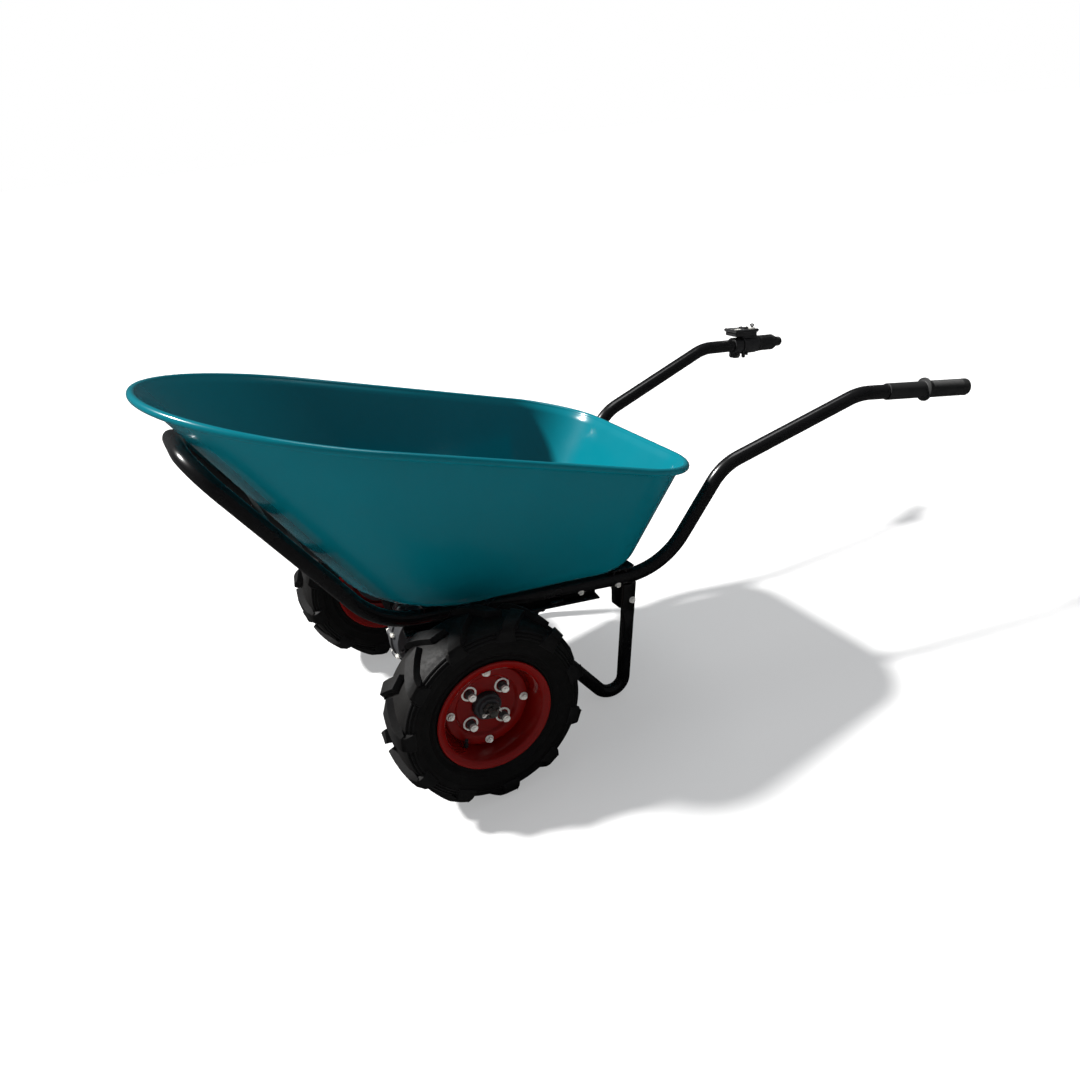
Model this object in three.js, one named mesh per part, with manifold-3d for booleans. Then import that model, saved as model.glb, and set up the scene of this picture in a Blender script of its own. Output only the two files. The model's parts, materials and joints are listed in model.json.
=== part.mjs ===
// Battery powered two-wheel wheelbarrow, in millimetres, +Z up.
// The nose of the tray points to -X and the handles to +X, with the operator's left at -Y.
// The frame is drawn with its rails level, and is then tipped back about the axle until the leg
// bends stand on the ground with the tyres. The origin is on the ground below the middle.

import * as THREE from 'three';
import { mergeVertices } from 'three/addons/utils/BufferGeometryUtils.js';
import Module from 'manifold-3d';

const wasm = await Module();
wasm.setup();

// ---------------------------------------------------------------- driving dimensions
const GAP = 0.3;                 // clearance between pieces that touch
const TUBE_R = 16;               // main frame tube, 32 mm across
const LEG_R = 15;

const WHEEL_R = 200;             // 4.80/4.00-8 tyre over its lugs
const WHEEL_Y = 329;             // wheel centre plane
const TYRE_HALF_WIDTH = 60;
const FLANGE_R = 116.5;          // rim flange of an 8 inch wheel
const WHEEL_SEGMENTS = 36;

const RAIL_Z = 329;              // centre of the level rails
const SPLAY = 0.127;             // the side tubes spread by this slope towards the handles
const SIDE_Y = 170;              // half spread of the side tubes above the axle

const TRAY_FLOOR_Z = 355;        // underside of the tray's floor
const TRAY_SHEET = 2.4;
const BEAD_R = 7.5;
const RIM_Z = 683;               // rim height above the axle
const RIM_SLOPE = -0.23;         // the rim drops towards the handles

const FOOT = { x: 348, z: 80, bend: 35 };          // centre and radius of a leg's bend
const BRACE_ANGLE = THREE.MathUtils.degToRad(50);  // slope of a leg's front run

const RING_TEETH = 42;
const PINION_TEETH = 10;
const GEAR_MODULE = 3;
const MOTOR_LIFT = THREE.MathUtils.degToRad(25);   // the motor sits behind and above the axle

// ---------------------------------------------------------------- materials
function look(color, roughness, metalness) {
  return new THREE.MeshStandardMaterial({ color, roughness, metalness });
}

const LOOKS = {
  trayPaint: () => look(0x067d92, 0.25, 0.1),
  framePaint: () => look(0x0c0c0e, 0.35, 0.2),
  rimPaint: () => look(0x7a140f, 0.3, 0.2),
  tyre: () => look(0x17181a, 0.85, 0),
  zinc: () => look(0xb9b7ae, 0.35, 0.9),
  steel: () => look(0x8b8d90, 0.4, 0.9),
  casting: () => look(0x303236, 0.5, 0.6),
  rubber: () => look(0x111112, 0.8, 0),
  plastic: () => look(0x161719, 0.5, 0),
  lens: () => look(0x20262a, 0.15, 0),
};

// ---------------------------------------------------------------- geometry helpers
function signedVolume(position, index) {
  let sum = 0;
  const corner = [new THREE.Vector3(), new THREE.Vector3(), new THREE.Vector3()];
  for (let i = 0; i < index.length; i += 3) {
    corner.forEach((point, k) => point.fromBufferAttribute(position, index[i + k]));
    sum += corner[0].dot(corner[1].clone().cross(corner[2]));
  }
  return sum / 6;
}

// Shared vertices merged, collapsed triangles dropped, faces turned outwards.
function closed(source) {
  const bare = source.clone();
  bare.deleteAttribute('normal');
  bare.deleteAttribute('uv');
  const merged = mergeVertices(bare, 1e-3);
  const index = [];
  const old = merged.index.array;
  for (let i = 0; i < old.length; i += 3) {
    const [a, b, c] = [old[i], old[i + 1], old[i + 2]];
    if (a !== b && b !== c && c !== a) index.push(a, b, c);
  }
  if (signedVolume(merged.attributes.position, index) < 0) {
    for (let i = 0; i < index.length; i += 3) {
      [index[i + 1], index[i + 2]] = [index[i + 2], index[i + 1]];
    }
  }
  merged.setIndex(index);
  return merged;
}

function toSolid(geometry) {
  const ready = closed(geometry);
  const vertProperties = new Float32Array(ready.attributes.position.array);
  const triVerts = new Uint32Array(ready.index.array);
  return new wasm.Manifold(new wasm.Mesh({ numProp: 3, vertProperties, triVerts }));
}

function fromSolid(solid) {
  const result = solid.getMesh();
  const geometry = new THREE.BufferGeometry();
  geometry.setAttribute('position', new THREE.BufferAttribute(new Float32Array(result.vertProperties), 3));
  geometry.setIndex(new THREE.BufferAttribute(new Uint32Array(result.triVerts), 1));
  return geometry;
}

function cut(body, ...tools) {
  return fromSolid(tools.reduce((solid, tool) => solid.subtract(toSolid(tool)), toSolid(body)));
}

function join(body, ...more) {
  return fromSolid(more.reduce((solid, part) => solid.add(toSolid(part)), toSolid(body)));
}

function piece(name, geometry, makeLook) {
  const mesh = new THREE.Mesh(closed(geometry), makeLook());
  mesh.name = name;
  return mesh;
}

// A box between two corners.
function block(low, high) {
  const size = high.map((value, axis) => value - low[axis]);
  const centre = high.map((value, axis) => (value + low[axis]) / 2);
  return new THREE.BoxGeometry(...size).translate(...centre);
}

// A rod along Y from y0 to y1.
function rodY(radius, y0, y1, x = 0, z = 0, sides = 24) {
  const rod = new THREE.CylinderGeometry(radius, radius, Math.abs(y1 - y0), sides);
  return rod.translate(x, (y0 + y1) / 2, z);
}

// A turned shape about Y from [radius, y] pairs that close on themselves or start and end on the axis.
function turned(profile, segments = WHEEL_SEGMENTS) {
  return new THREE.LatheGeometry(profile.map(([r, y]) => new THREE.Vector2(r, y)), segments);
}

function ring(inner, outer, y0, y1, segments = 16) {
  return turned([[inner, y0], [outer, y0], [outer, y1], [inner, y1], [inner, y0]], segments);
}

// A flat plate drawn in X and Z, lying between y0 and y1.
function plateXZ(points, y0, y1) {
  const shape = new THREE.Shape(points.map(([x, z]) => new THREE.Vector2(x, z)));
  const geometry = new THREE.ExtrudeGeometry(shape, { depth: y1 - y0, bevelEnabled: false });
  return geometry.rotateX(Math.PI / 2).translate(0, y1, 0);
}

// A curve that an extrusion samples exactly at its own stations.
class StationPath extends THREE.Curve {
  constructor(stations) {
    super();
    this.stations = stations;
  }

  station(u) {
    return this.stations[Math.min(this.stations.length - 1, Math.round(u * (this.stations.length - 1)))];
  }

  getPointAt(u) {
    return this.station(u).point.clone();
  }

  getTangentAt(u) {
    return this.station(u).tangent.clone();
  }
}

// Corners joined by straight runs, with a true arc of the given radius at each inner corner.
function bentPath(corners, radii, arcSteps = 5) {
  const points = corners.map((corner) => new THREE.Vector3(...corner));
  const heading = (a, b) => b.clone().sub(a).normalize();
  const first = heading(points[0], points[1]);
  const stations = [{ point: points[0], tangent: first }];
  for (let i = 1; i < points.length - 1; i += 1) {
    const into = heading(points[i - 1], points[i]);
    const away = heading(points[i], points[i + 1]);
    const turn = into.angleTo(away);
    const reach = radii[i - 1] * Math.tan(turn / 2);
    const start = points[i].clone().addScaledVector(into, -reach);
    const inward = away.clone().addScaledVector(into, -away.dot(into)).normalize();
    for (let k = 0; k <= arcSteps; k += 1) {
      const angle = (turn * k) / arcSteps;
      const point = start.clone()
        .addScaledVector(into, radii[i - 1] * Math.sin(angle))
        .addScaledVector(inward, radii[i - 1] * (1 - Math.cos(angle)));
      const tangent = into.clone().multiplyScalar(Math.cos(angle)).addScaledVector(inward, Math.sin(angle));
      stations.push({ point, tangent });
    }
  }
  const last = points.length - 1;
  stations.push({ point: points[last], tangent: heading(points[last - 1], points[last]) });
  return new StationPath(stations);
}

function tube(path, radius, sides = 12) {
  const section = new THREE.Shape();
  for (let i = 0; i < sides; i += 1) {
    const angle = (2 * Math.PI * i) / sides;
    const at = [radius * Math.cos(angle), radius * Math.sin(angle)];
    if (i === 0) section.moveTo(...at);
    else section.lineTo(...at);
  }
  return new THREE.ExtrudeGeometry(section, { steps: path.stations.length - 1, extrudePath: path });
}

// ---------------------------------------------------------------- side tubes
const sideY = (x) => SIDE_Y + SPLAY * x;
const onSide = (side, x, z) => [x, side * sideY(x), z];

const NOSE = { x: -400, z: 691 };        // top corner of the front loop
const FRONT_BEND = { x: -132, z: RAIL_Z };
const REAR_BEND = { x: 474, z: RAIL_Z };
const RISE_TOP = { x: 616, z: 546 };
const GRIP_BEND = { x: 956, z: 666 };
const TUBE_TIP = { x: 1263, z: 649.4 };
const RIGHT_TUBE_CUT = 27;
const TUBE_JOINT_X = -20;                // the front loop meets the handle tubes here
const LOOP_BENDS = [150, 80, 80, 150];
const HANDLE_BENDS = [170, 120, 150];

function frontLoop() {
  const corners = [
    onSide(-1, TUBE_JOINT_X - GAP, RAIL_Z),
    onSide(-1, FRONT_BEND.x, FRONT_BEND.z),
    onSide(-1, NOSE.x, NOSE.z),
    onSide(1, NOSE.x, NOSE.z),
    onSide(1, FRONT_BEND.x, FRONT_BEND.z),
    onSide(1, TUBE_JOINT_X - GAP, RAIL_Z),
  ];
  return tube(bentPath(corners, LOOP_BENDS), TUBE_R);
}

// The right tube stops short inside its grip.
function handleTube(side) {
  const reach = Math.hypot(TUBE_TIP.x - GRIP_BEND.x, TUBE_TIP.z - GRIP_BEND.z);
  const share = side > 0 ? 1 - RIGHT_TUBE_CUT / reach : 1;
  const tipX = GRIP_BEND.x + (TUBE_TIP.x - GRIP_BEND.x) * share;
  const tipZ = GRIP_BEND.z + (TUBE_TIP.z - GRIP_BEND.z) * share;
  const corners = [
    onSide(side, TUBE_JOINT_X, RAIL_Z),
    onSide(side, REAR_BEND.x, REAR_BEND.z),
    onSide(side, RISE_TOP.x, RISE_TOP.z),
    onSide(side, GRIP_BEND.x, GRIP_BEND.z),
    onSide(side, tipX, tipZ),
  ];
  return tube(bentPath(corners, HANDLE_BENDS), TUBE_R);
}

// ---------------------------------------------------------------- tray
// One half of an outline in plan: elliptical nose, straight side, round rear corner, straight back.
function halfOutline({ nose, start, halfStart, turnX, halfTurn, corner, back }) {
  const points = [];
  const noseSteps = 8;
  for (let i = 0; i < noseSteps; i += 1) {
    const angle = (Math.PI / 2) * (i / noseSteps);
    points.push([start - (start - nose) * Math.cos(angle), halfStart * Math.sin(angle)]);
  }
  const sideSteps = 4;
  for (let i = 0; i < sideSteps; i += 1) {
    const t = i / sideSteps;
    points.push([start + (turnX - start) * t, halfStart + (halfTurn - halfStart) * t]);
  }
  const cornerSteps = 5;
  const centre = [back - corner, halfTurn - corner];
  for (let i = 0; i <= cornerSteps; i += 1) {
    const angle = (Math.PI / 2) * (1 - i / cornerSteps);
    points.push([centre[0] + corner * Math.cos(angle), centre[1] + corner * Math.sin(angle)]);
  }
  points.push([back, 0]);
  return points;
}

// Both halves, from the nose round by -Y and back by +Y.
function fullOutline(settings) {
  const half = halfOutline(settings);
  const near = half.map(([x, y]) => [x, -y]);
  const far = half.slice(1, -1).reverse();
  return [...near, ...far];
}

const RIM_OUTLINE = {
  nose: -440, start: -100, halfStart: 299, turnX: 383, halfTurn: 313, corner: 156, back: 539,
};
const FLOOR_OUTLINE = {
  nose: -144, start: 60, halfStart: 230, turnX: 320, halfTurn: 248, corner: 96, back: 416,
};
const FLOOR_FILLET = 36;
const RIM_LIP = 8;               // the sheet turns out by this much below the bead
const FLOOR_MIDDLE_X = 140;

// The middle of the sheet from the floor's edge up to the rim, for one corner of the outlines.
function traySection(floorPoint, rimPoint) {
  const sheetZ = TRAY_FLOOR_Z + TRAY_SHEET / 2;
  const foot = new THREE.Vector3(floorPoint[0], floorPoint[1], sheetZ);
  const top = new THREE.Vector3(rimPoint[0], rimPoint[1], RIM_Z + RIM_SLOPE * rimPoint[0]);
  const inward = new THREE.Vector3(FLOOR_MIDDLE_X - foot.x, -foot.y, 0).normalize();
  const wallTop = top.clone().addScaledVector(inward, RIM_LIP);
  wallTop.z -= RIM_LIP;
  const up = wallTop.clone().sub(foot).normalize();
  const from = foot.clone().addScaledVector(inward, FLOOR_FILLET);
  const to = foot.clone().addScaledVector(up, FLOOR_FILLET);
  const curve = new THREE.QuadraticBezierCurve3(from, foot, to);
  const section = curve.getPoints(4);
  for (const t of [0.5, 1]) section.push(to.clone().lerp(wallTop, t));
  section.push(top);
  return section;
}

const BEAD_ANGLES = [-120, -75, -30, 15, 60, 105, 145];

// The closed sheet: outside of the wall, round the rolled bead, then down the inside.
function tray() {
  const floor = fullOutline(FLOOR_OUTLINE);
  const rim = fullOutline(RIM_OUTLINE);
  const sections = floor.map((point, i) => traySection(point, rim[i]));
  const count = sections.length;
  const rings = sections.map((section, i) => {
    const before = sections[(i + count - 1) % count];
    const after = sections[(i + 1) % count];
    const normals = section.map((point, k) => {
      const along = after[k].clone().sub(before[k]);
      const upward = section[Math.min(k + 1, section.length - 1)].clone().sub(section[Math.max(k - 1, 0)]);
      return k === 0 ? new THREE.Vector3(0, 0, -1) : upward.cross(along).normalize().negate();
    });
    const half = TRAY_SHEET / 2;
    const outside = section.map((point, k) => point.clone().addScaledVector(normals[k], half));
    const inside = section.map((point, k) => point.clone().addScaledVector(normals[k], -half));
    const top = section[section.length - 1];
    const out = normals[normals.length - 1].clone().setZ(0).normalize();
    const centre = top.clone().addScaledVector(out, BEAD_R);
    const bead = BEAD_ANGLES.map((degrees) => {
      const angle = THREE.MathUtils.degToRad(degrees);
      return centre.clone()
        .addScaledVector(out, BEAD_R * Math.cos(angle))
        .add(new THREE.Vector3(0, 0, BEAD_R * Math.sin(angle)));
    });
    outside.pop();
    return [...outside, ...bead, ...inside.reverse()];
  });
  return skinned(rings, TRAY_FLOOR_Z, TRAY_FLOOR_Z + TRAY_SHEET);
}

// Joins equal rings of points round a closed outline, and fills both ends with a fan.
function skinned(rings, firstZ, lastZ) {
  const perRing = rings[0].length;
  const positions = [];
  for (const row of rings) for (const point of row) positions.push(point.x, point.y, point.z);
  const index = [];
  const at = (i, k) => (i % rings.length) * perRing + k;
  for (let i = 0; i < rings.length; i += 1) {
    for (let k = 0; k + 1 < perRing; k += 1) {
      index.push(at(i, k), at(i + 1, k), at(i + 1, k + 1));
      index.push(at(i, k), at(i + 1, k + 1), at(i, k + 1));
    }
  }
  const firstCentre = positions.length / 3;
  positions.push(FLOOR_MIDDLE_X, 0, firstZ, FLOOR_MIDDLE_X, 0, lastZ);
  for (let i = 0; i < rings.length; i += 1) {
    index.push(firstCentre, at(i + 1, 0), at(i, 0));
    index.push(firstCentre + 1, at(i, perRing - 1), at(i + 1, perRing - 1));
  }
  const geometry = new THREE.BufferGeometry();
  geometry.setAttribute('position', new THREE.Float32BufferAttribute(positions, 3));
  geometry.setIndex(index);
  return geometry;
}

// ---------------------------------------------------------------- cross members and brackets
// A flat strap welded between the two runs of the front loop, below the tray's nose.
function noseStrap(share, lift) {
  const x = FRONT_BEND.x + (NOSE.x - FRONT_BEND.x) * share;
  const z = FRONT_BEND.z + (NOSE.z - FRONT_BEND.z) * share;
  const slope = Math.atan2(NOSE.z - FRONT_BEND.z, FRONT_BEND.x - NOSE.x);
  const halfWidth = 14;
  const reach = sideY(x - halfWidth) - TUBE_R - GAP;
  const strap = block([-halfWidth, -reach, lift], [halfWidth, reach, lift + 4]);
  return strap.rotateY(slope).translate(x, 0, z);
}

const FRONT_MEMBER_X = -36;
const REAR_MEMBER_X = 368;
const RAIL_TOP = RAIL_Z + TUBE_R;

const MEMBER = { half: 17, wall: 4, end: 14, top: TRAY_FLOOR_Z - GAP };
const TAB = { width: 26, reach: 23.5 };

// A channel, open downwards, that lies across both rails under the tray's floor.
function crossMember(x) {
  const { half, wall, end, top } = MEMBER;
  const reach = sideY(x) + end;
  const low = [x - half, -reach, RAIL_TOP + GAP];
  const high = [x + half, reach, top];
  const hollow = block([low[0] + wall, -reach - 5, low[2] - 5], [high[0] - wall, reach + 5, high[2] - wall]);
  return cut(block(low, high), hollow);
}

// The rear channel has a tab at each end that leans back beside the tray's corner.
function rearMember() {
  const { half, end, top } = MEMBER;
  const rear = REAR_MEMBER_X + half;
  const reach = sideY(REAR_MEMBER_X) + end;
  const outline = [
    [rear - 3, top - 5], [rear - 1, top - 7],
    [rear - 4 + TAB.reach, top + 1], [rear - 6.5 + TAB.reach, top + 4],
  ];
  const leftTab = plateXZ(outline, -reach, TAB.width - reach);
  const rightTab = plateXZ(outline, reach - TAB.width, reach);
  return join(crossMember(REAR_MEMBER_X), leftTab, rightTab);
}

const AXLE_RAIL = { front: -90, rear: 322, top: RAIL_Z - TUBE_R - GAP, height: 16.7, width: 30, sheet: 4 };

// An angle bar that runs along under a side tube.
function axleRail(side) {
  const { front, rear, top, height, width, sheet } = AXLE_RAIL;
  const half = width / 2;
  const section = new THREE.Shape([
    new THREE.Vector2(-half, top - height), new THREE.Vector2(half, top - height),
    new THREE.Vector2(half, top - height + sheet), new THREE.Vector2(-half + sheet, top - height + sheet),
    new THREE.Vector2(-half + sheet, top), new THREE.Vector2(-half, top),
  ]);
  const stretch = Math.hypot(1, SPLAY);
  const bar = new THREE.ExtrudeGeometry(section, { depth: (rear - front) * stretch, bevelEnabled: false });
  bar.rotateX(Math.PI / 2).rotateZ(Math.PI / 2);
  bar.translate(front * stretch, 0, 0);
  if (side > 0) bar.scale(1, -1, 1);
  return bar.rotateZ(side * Math.atan(SPLAY)).translate(0, side * SIDE_Y, 0);
}

const LEG_TOP = { x: 397, z: RAIL_Z - TUBE_R - 1.5 };
const LEG_LEAN = { x: 383, z: 80 };      // the rear run meets the foot's bend here
const BRACE_TOP_Z = AXLE_RAIL.top - AXLE_RAIL.height - 1;
const BRACE_FOOT = 40;                   // level run of the brace under the axle rail

// A leg: rear run down to the foot's bend, then forwards and up to the axle rail.
function leg(side) {
  const braceStart = {
    x: FOOT.x - FOOT.bend * Math.sin(BRACE_ANGLE),
    z: FOOT.z - FOOT.bend * Math.cos(BRACE_ANGLE),
  };
  const lean = (LEG_TOP.x - LEG_LEAN.x) / (LEG_TOP.z - LEG_LEAN.z);
  const fall = Math.tan(BRACE_ANGLE);
  const cornerAhead = LEG_LEAN.x - lean * (LEG_LEAN.z - braceStart.z - fall * braceStart.x);
  const cornerX = cornerAhead / (1 + lean * fall);
  const cornerZ = braceStart.z - fall * (cornerX - braceStart.x);
  const topX = braceStart.x - (BRACE_TOP_Z - LEG_R - braceStart.z) / fall;
  const corners = [
    onSide(side, LEG_TOP.x, LEG_TOP.z),
    onSide(side, cornerX, cornerZ),
    onSide(side, topX, BRACE_TOP_Z - LEG_R),
    onSide(side, topX - BRACE_FOOT, BRACE_TOP_Z - LEG_R),
  ];
  return tube(bentPath(corners, [FOOT.bend, BRACE_FOOT], 6), LEG_R);
}

// The plate inside a rail that carries the top of a leg.
function legBracket(side) {
  const outline = [
    [352, 344], [412, 344], [412, 244], [382, 244], [364, 262], [364, 316], [352, 326],
  ];
  const outer = -TUBE_R - GAP;
  const stretch = Math.hypot(1, SPLAY);
  const plate = plateXZ(outline, outer - 5, outer).scale(stretch, 1, 1);
  if (side < 0) plate.scale(1, -1, 1);
  return plate.rotateZ(side * Math.atan(SPLAY)).translate(0, side * SIDE_Y, 0);
}

// ---------------------------------------------------------------- axle and drive
const AXLE_TUBE = { inner: 20, outer: 25, start: 41, end: 258 };
const HANGER_Y = 168;
const SHAFT_R = 9;

function hanger(side) {
  const top = AXLE_RAIL.top - AXLE_RAIL.height - GAP - WHEEL_R;
  const outline = [[-70, top], [70, top], [34, -16], [20, -36], [-20, -36], [-34, -16]];
  const plate = plateXZ(outline, HANGER_Y - 3, HANGER_Y + 3);
  const hole = rodY(AXLE_TUBE.outer + 0.8, HANGER_Y - 10, HANGER_Y + 10, 0, 0, 16);
  const geometry = cut(plate, hole).translate(0, 0, WHEEL_R);
  return side < 0 ? geometry.scale(1, -1, 1) : geometry;
}

function axleTube(side) {
  const { inner, outer, start, end } = AXLE_TUBE;
  return ring(inner, outer, side * start, side * end).translate(0, 0, WHEEL_R);
}

const motorDistance = (GEAR_MODULE * (RING_TEETH + PINION_TEETH)) / 2;
const MOTOR_AT = {
  x: motorDistance * Math.cos(MOTOR_LIFT),
  z: WHEEL_R + motorDistance * Math.sin(MOTOR_LIFT),
};

// An outline around the axle lobe and the smaller motor lobe.
function lobedShape(axleR, motorR, steps = 8) {
  const spread = Math.acos((axleR - motorR) / motorDistance);
  const shape = new THREE.Shape();
  for (let i = 0; i <= steps * 2; i += 1) {
    const angle = MOTOR_LIFT + spread + ((2 * Math.PI - 2 * spread) * i) / (steps * 2);
    const at = [axleR * Math.cos(angle), axleR * Math.sin(angle)];
    if (i === 0) shape.moveTo(...at);
    else shape.lineTo(...at);
  }
  const centre = [motorDistance * Math.cos(MOTOR_LIFT), motorDistance * Math.sin(MOTOR_LIFT)];
  for (let i = 0; i <= steps; i += 1) {
    const angle = MOTOR_LIFT - spread + (2 * spread * i) / steps;
    shape.lineTo(centre[0] + motorR * Math.cos(angle), centre[1] + motorR * Math.sin(angle));
  }
  return shape;
}

function lobedSlab(axleR, motorR, y0, y1) {
  const slab = new THREE.ExtrudeGeometry(lobedShape(axleR, motorR), { depth: y1 - y0, bevelEnabled: false });
  return slab.rotateX(Math.PI / 2).translate(0, y1, 0);
}

// Half of the gear case: a cup with its mouth at the middle plane.
function gearCase(side) {
  const mouth = GAP / 2;
  const depth = 36;
  const wall = 4;
  const body = lobedSlab(76, 28, mouth, depth);
  const boss = rodY(30, depth - 1, AXLE_TUBE.start - GAP, 0, 0, 16);
  const hollow = lobedSlab(72, 23, mouth - 5, depth - wall);
  const bore = rodY(SHAFT_R + 1, mouth - 10, depth + 20, 0, 0, 12);
  const tools = [hollow, bore];
  if (side > 0) tools.push(rodY(7, depth - 10, depth + 10, MOTOR_AT.x, MOTOR_AT.z - WHEEL_R, 12));
  const geometry = cut(join(body, boss), ...tools);
  geometry.translate(0, 0, WHEEL_R);
  return side < 0 ? geometry.scale(1, -1, 1) : geometry;
}

// A spur gear's outline, four corners to a tooth, with a tooth centred on angle zero plus the phase.
function gearShape(teeth, phase) {
  const pitch = (GEAR_MODULE * teeth) / 2;
  const tip = pitch + 0.8 * GEAR_MODULE;
  const root = pitch - 1.15 * GEAR_MODULE;
  const step = (2 * Math.PI) / teeth;
  const shape = new THREE.Shape();
  for (let i = 0; i < teeth; i += 1) {
    const corners = [[-0.3, root], [-0.12, tip], [0.12, tip], [0.3, root]];
    corners.forEach(([share, radius], k) => {
      const angle = phase + (i + share) * step;
      const at = [radius * Math.cos(angle), radius * Math.sin(angle)];
      if (i === 0 && k === 0) shape.moveTo(...at);
      else shape.lineTo(...at);
    });
  }
  return shape;
}

// Drawn in X and Z: an angle that grows from +X towards +Z is kept by the turn into the plane.
function gearBody(teeth, phase, y0, y1) {
  const body = new THREE.ExtrudeGeometry(gearShape(teeth, phase), { depth: y1 - y0, bevelEnabled: false });
  return body.rotateX(Math.PI / 2).translate(0, y1, 0);
}

// The ring gear with the drum that holds the differential's bevel gears.
function ringGear() {
  const gear = gearBody(RING_TEETH, MOTOR_LIFT, -2, 12);
  const drum = rodY(34, -26, 26, 0, 0, 16);
  const hollow = rodY(28, -20, 20, 0, 0, 16);
  const bore = rodY(SHAFT_R + 1, -40, 40, 0, 0, 12);
  const solid = toSolid(gear).add(toSolid(drum)).subtract(toSolid(hollow)).subtract(toSolid(bore));
  return fromSolid(solid).translate(0, 0, WHEEL_R);
}

// A bevel gear blank on the inner end of a half shaft, with its shaft out to the wheel.
function halfShaft(side) {
  const profile = [
    [0, 3], [12, 3], [18, 17], [SHAFT_R, 17], [SHAFT_R, WHEEL_Y + 46], [0, WHEEL_Y + 46],
  ];
  return turned(profile.map(([r, y]) => [r, side * y]), 20).translate(0, 0, WHEEL_R);
}

function bearing(side) {
  return ring(SHAFT_R + 0.5, AXLE_TUBE.inner - GAP, side * 240, side * 256).translate(0, 0, WHEEL_R);
}

const MOTOR = { r: 46, start: 37, end: 138 };

function motorCan() {
  const body = ring(40, MOTOR.r, MOTOR.start, MOTOR.end, 24);
  const face = ring(8, 42, MOTOR.start, MOTOR.start + 6, 24);
  return join(body, face).translate(MOTOR_AT.x, 0, MOTOR_AT.z);
}

function motorCap() {
  const { r, end } = MOTOR;
  const profile = [[0, end + GAP], [r, end + GAP], [r, end + 10], [r - 8, end + 16], [0, end + 16]];
  return turned(profile, 24).translate(MOTOR_AT.x, 0, MOTOR_AT.z);
}

// The rotor with its shaft and the pinion that drives the ring gear.
function motorRotor() {
  const phase = MOTOR_LIFT + Math.PI + Math.PI / PINION_TEETH;
  const pinion = gearBody(PINION_TEETH, phase, -3, 13);
  const shaft = rodY(6, 12, 130, 0, 0, 12);
  const rotor = rodY(34, 52, 124, 0, 0, 16);
  return join(pinion, shaft, rotor).translate(MOTOR_AT.x, 0, MOTOR_AT.z);
}

// ---------------------------------------------------------------- battery and controller
const BATTERY = { front: 124, rear: 248, half: 98, low: 226, high: 300, sheet: 2.5 };
const STRAP_Z = [BATTERY.high + GAP, BATTERY.high + 5];

function batteryBox() {
  const { front, rear, half, low, high, sheet } = BATTERY;
  const outer = block([front, -half, low], [rear, half, high]);
  const inner = block([front + sheet, -half + sheet, low + sheet], [rear + 10, half - sheet, high - sheet]);
  return cut(outer, inner);
}

function batteryPack() {
  const { front, rear, half, low, high, sheet } = BATTERY;
  const room = sheet + 3;
  return block([front + room, -half + room + 38, low + sheet + GAP], [rear - 12, half - room, high - 10]);
}

function controller() {
  const { front, half, low, sheet } = BATTERY;
  const y0 = -half + sheet + 2;
  const base = block([front + 8, y0, low + sheet + GAP], [front + 98, y0 + 30, low + 40]);
  const slots = [];
  for (let i = 0; i < 5; i += 1) {
    slots.push(block([front, y0 + 4 + i * 5.2, low + 30], [front + 110, y0 + 6.6 + i * 5.2, low + 50]));
  }
  return cut(base, ...slots);
}

function batteryStrap(x) {
  const reach = sideY(x - 15) + AXLE_RAIL.width / 2 - AXLE_RAIL.sheet - 1;
  return block([x - 15, -reach, STRAP_Z[0]], [x + 15, reach, STRAP_Z[1]]);
}

function batteryDoor() {
  const { rear, half, low, high } = BATTERY;
  const plate = block([rear + GAP, -half, low + 1], [rear + 4, half, high - 1]);
  const lip = block([rear + 3, -30, high - 16], [rear + 8, 30, high - 10]);
  return join(plate, lip);
}

function batteryHinge() {
  const { rear, half, low } = BATTERY;
  return rodY(3, -half + 10, half - 10, rear + 2, low - 3.4, 12);
}

function batteryLatch() {
  const { rear, high } = BATTERY;
  return block([rear + 4.4, 44, high - 22], [rear + 9, 56, high + 3]);
}

function chargePort() {
  const { half, low } = BATTERY;
  return rodY(11, -half - 9, -half - GAP, 170, low + 36, 16);
}

// ---------------------------------------------------------------- wheels
// Profiles give [radius, offset], with the offset counted outboard from the wheel's centre plane.
function wheelTurned(side, profile, segments) {
  return turned(profile.map(([r, w]) => [r, side * (WHEEL_Y + w)]), segments).translate(0, 0, WHEEL_R);
}

function onWheel(side, radius, w0, w1, x, z, sides) {
  return rodY(radius, side * (WHEEL_Y + w0), side * (WHEEL_Y + w1), x, z + WHEEL_R, sides);
}

const BEAD_SEAT_R = 103.2;

// A hollow carcass, open between its beads.
function tyreProfile() {
  const outer = [
    [BEAD_SEAT_R, 43.6], [118, 45.5], [130, 54], [158, TYRE_HALF_WIDTH], [182, TYRE_HALF_WIDTH], [196, 44],
    [WHEEL_R, 16],
  ];
  const inner = [[182, 36], [156, 49], [BEAD_SEAT_R, 34]];
  const half = [...inner, ...outer];
  const mirrored = half.map(([r, w]) => [r, -w]).reverse();
  return [...half, ...mirrored, half[0]];
}

const BARREL_R = 99;
const RIM_SEGMENTS = 24;
const DISC = { back: 0.5, sheet: 3, hole: 29, step: 8 };
const STUD = { circle: 48, r: 5, count: 4 };

function stepAround(count, radius, phase) {
  return Array.from({ length: count }, (_, i) => {
    const angle = phase + (2 * Math.PI * i) / count;
    return [radius * Math.cos(angle), radius * Math.sin(angle)];
  });
}

const STUD_PLACES = stepAround(STUD.count, STUD.circle, THREE.MathUtils.degToRad(38));

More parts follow.
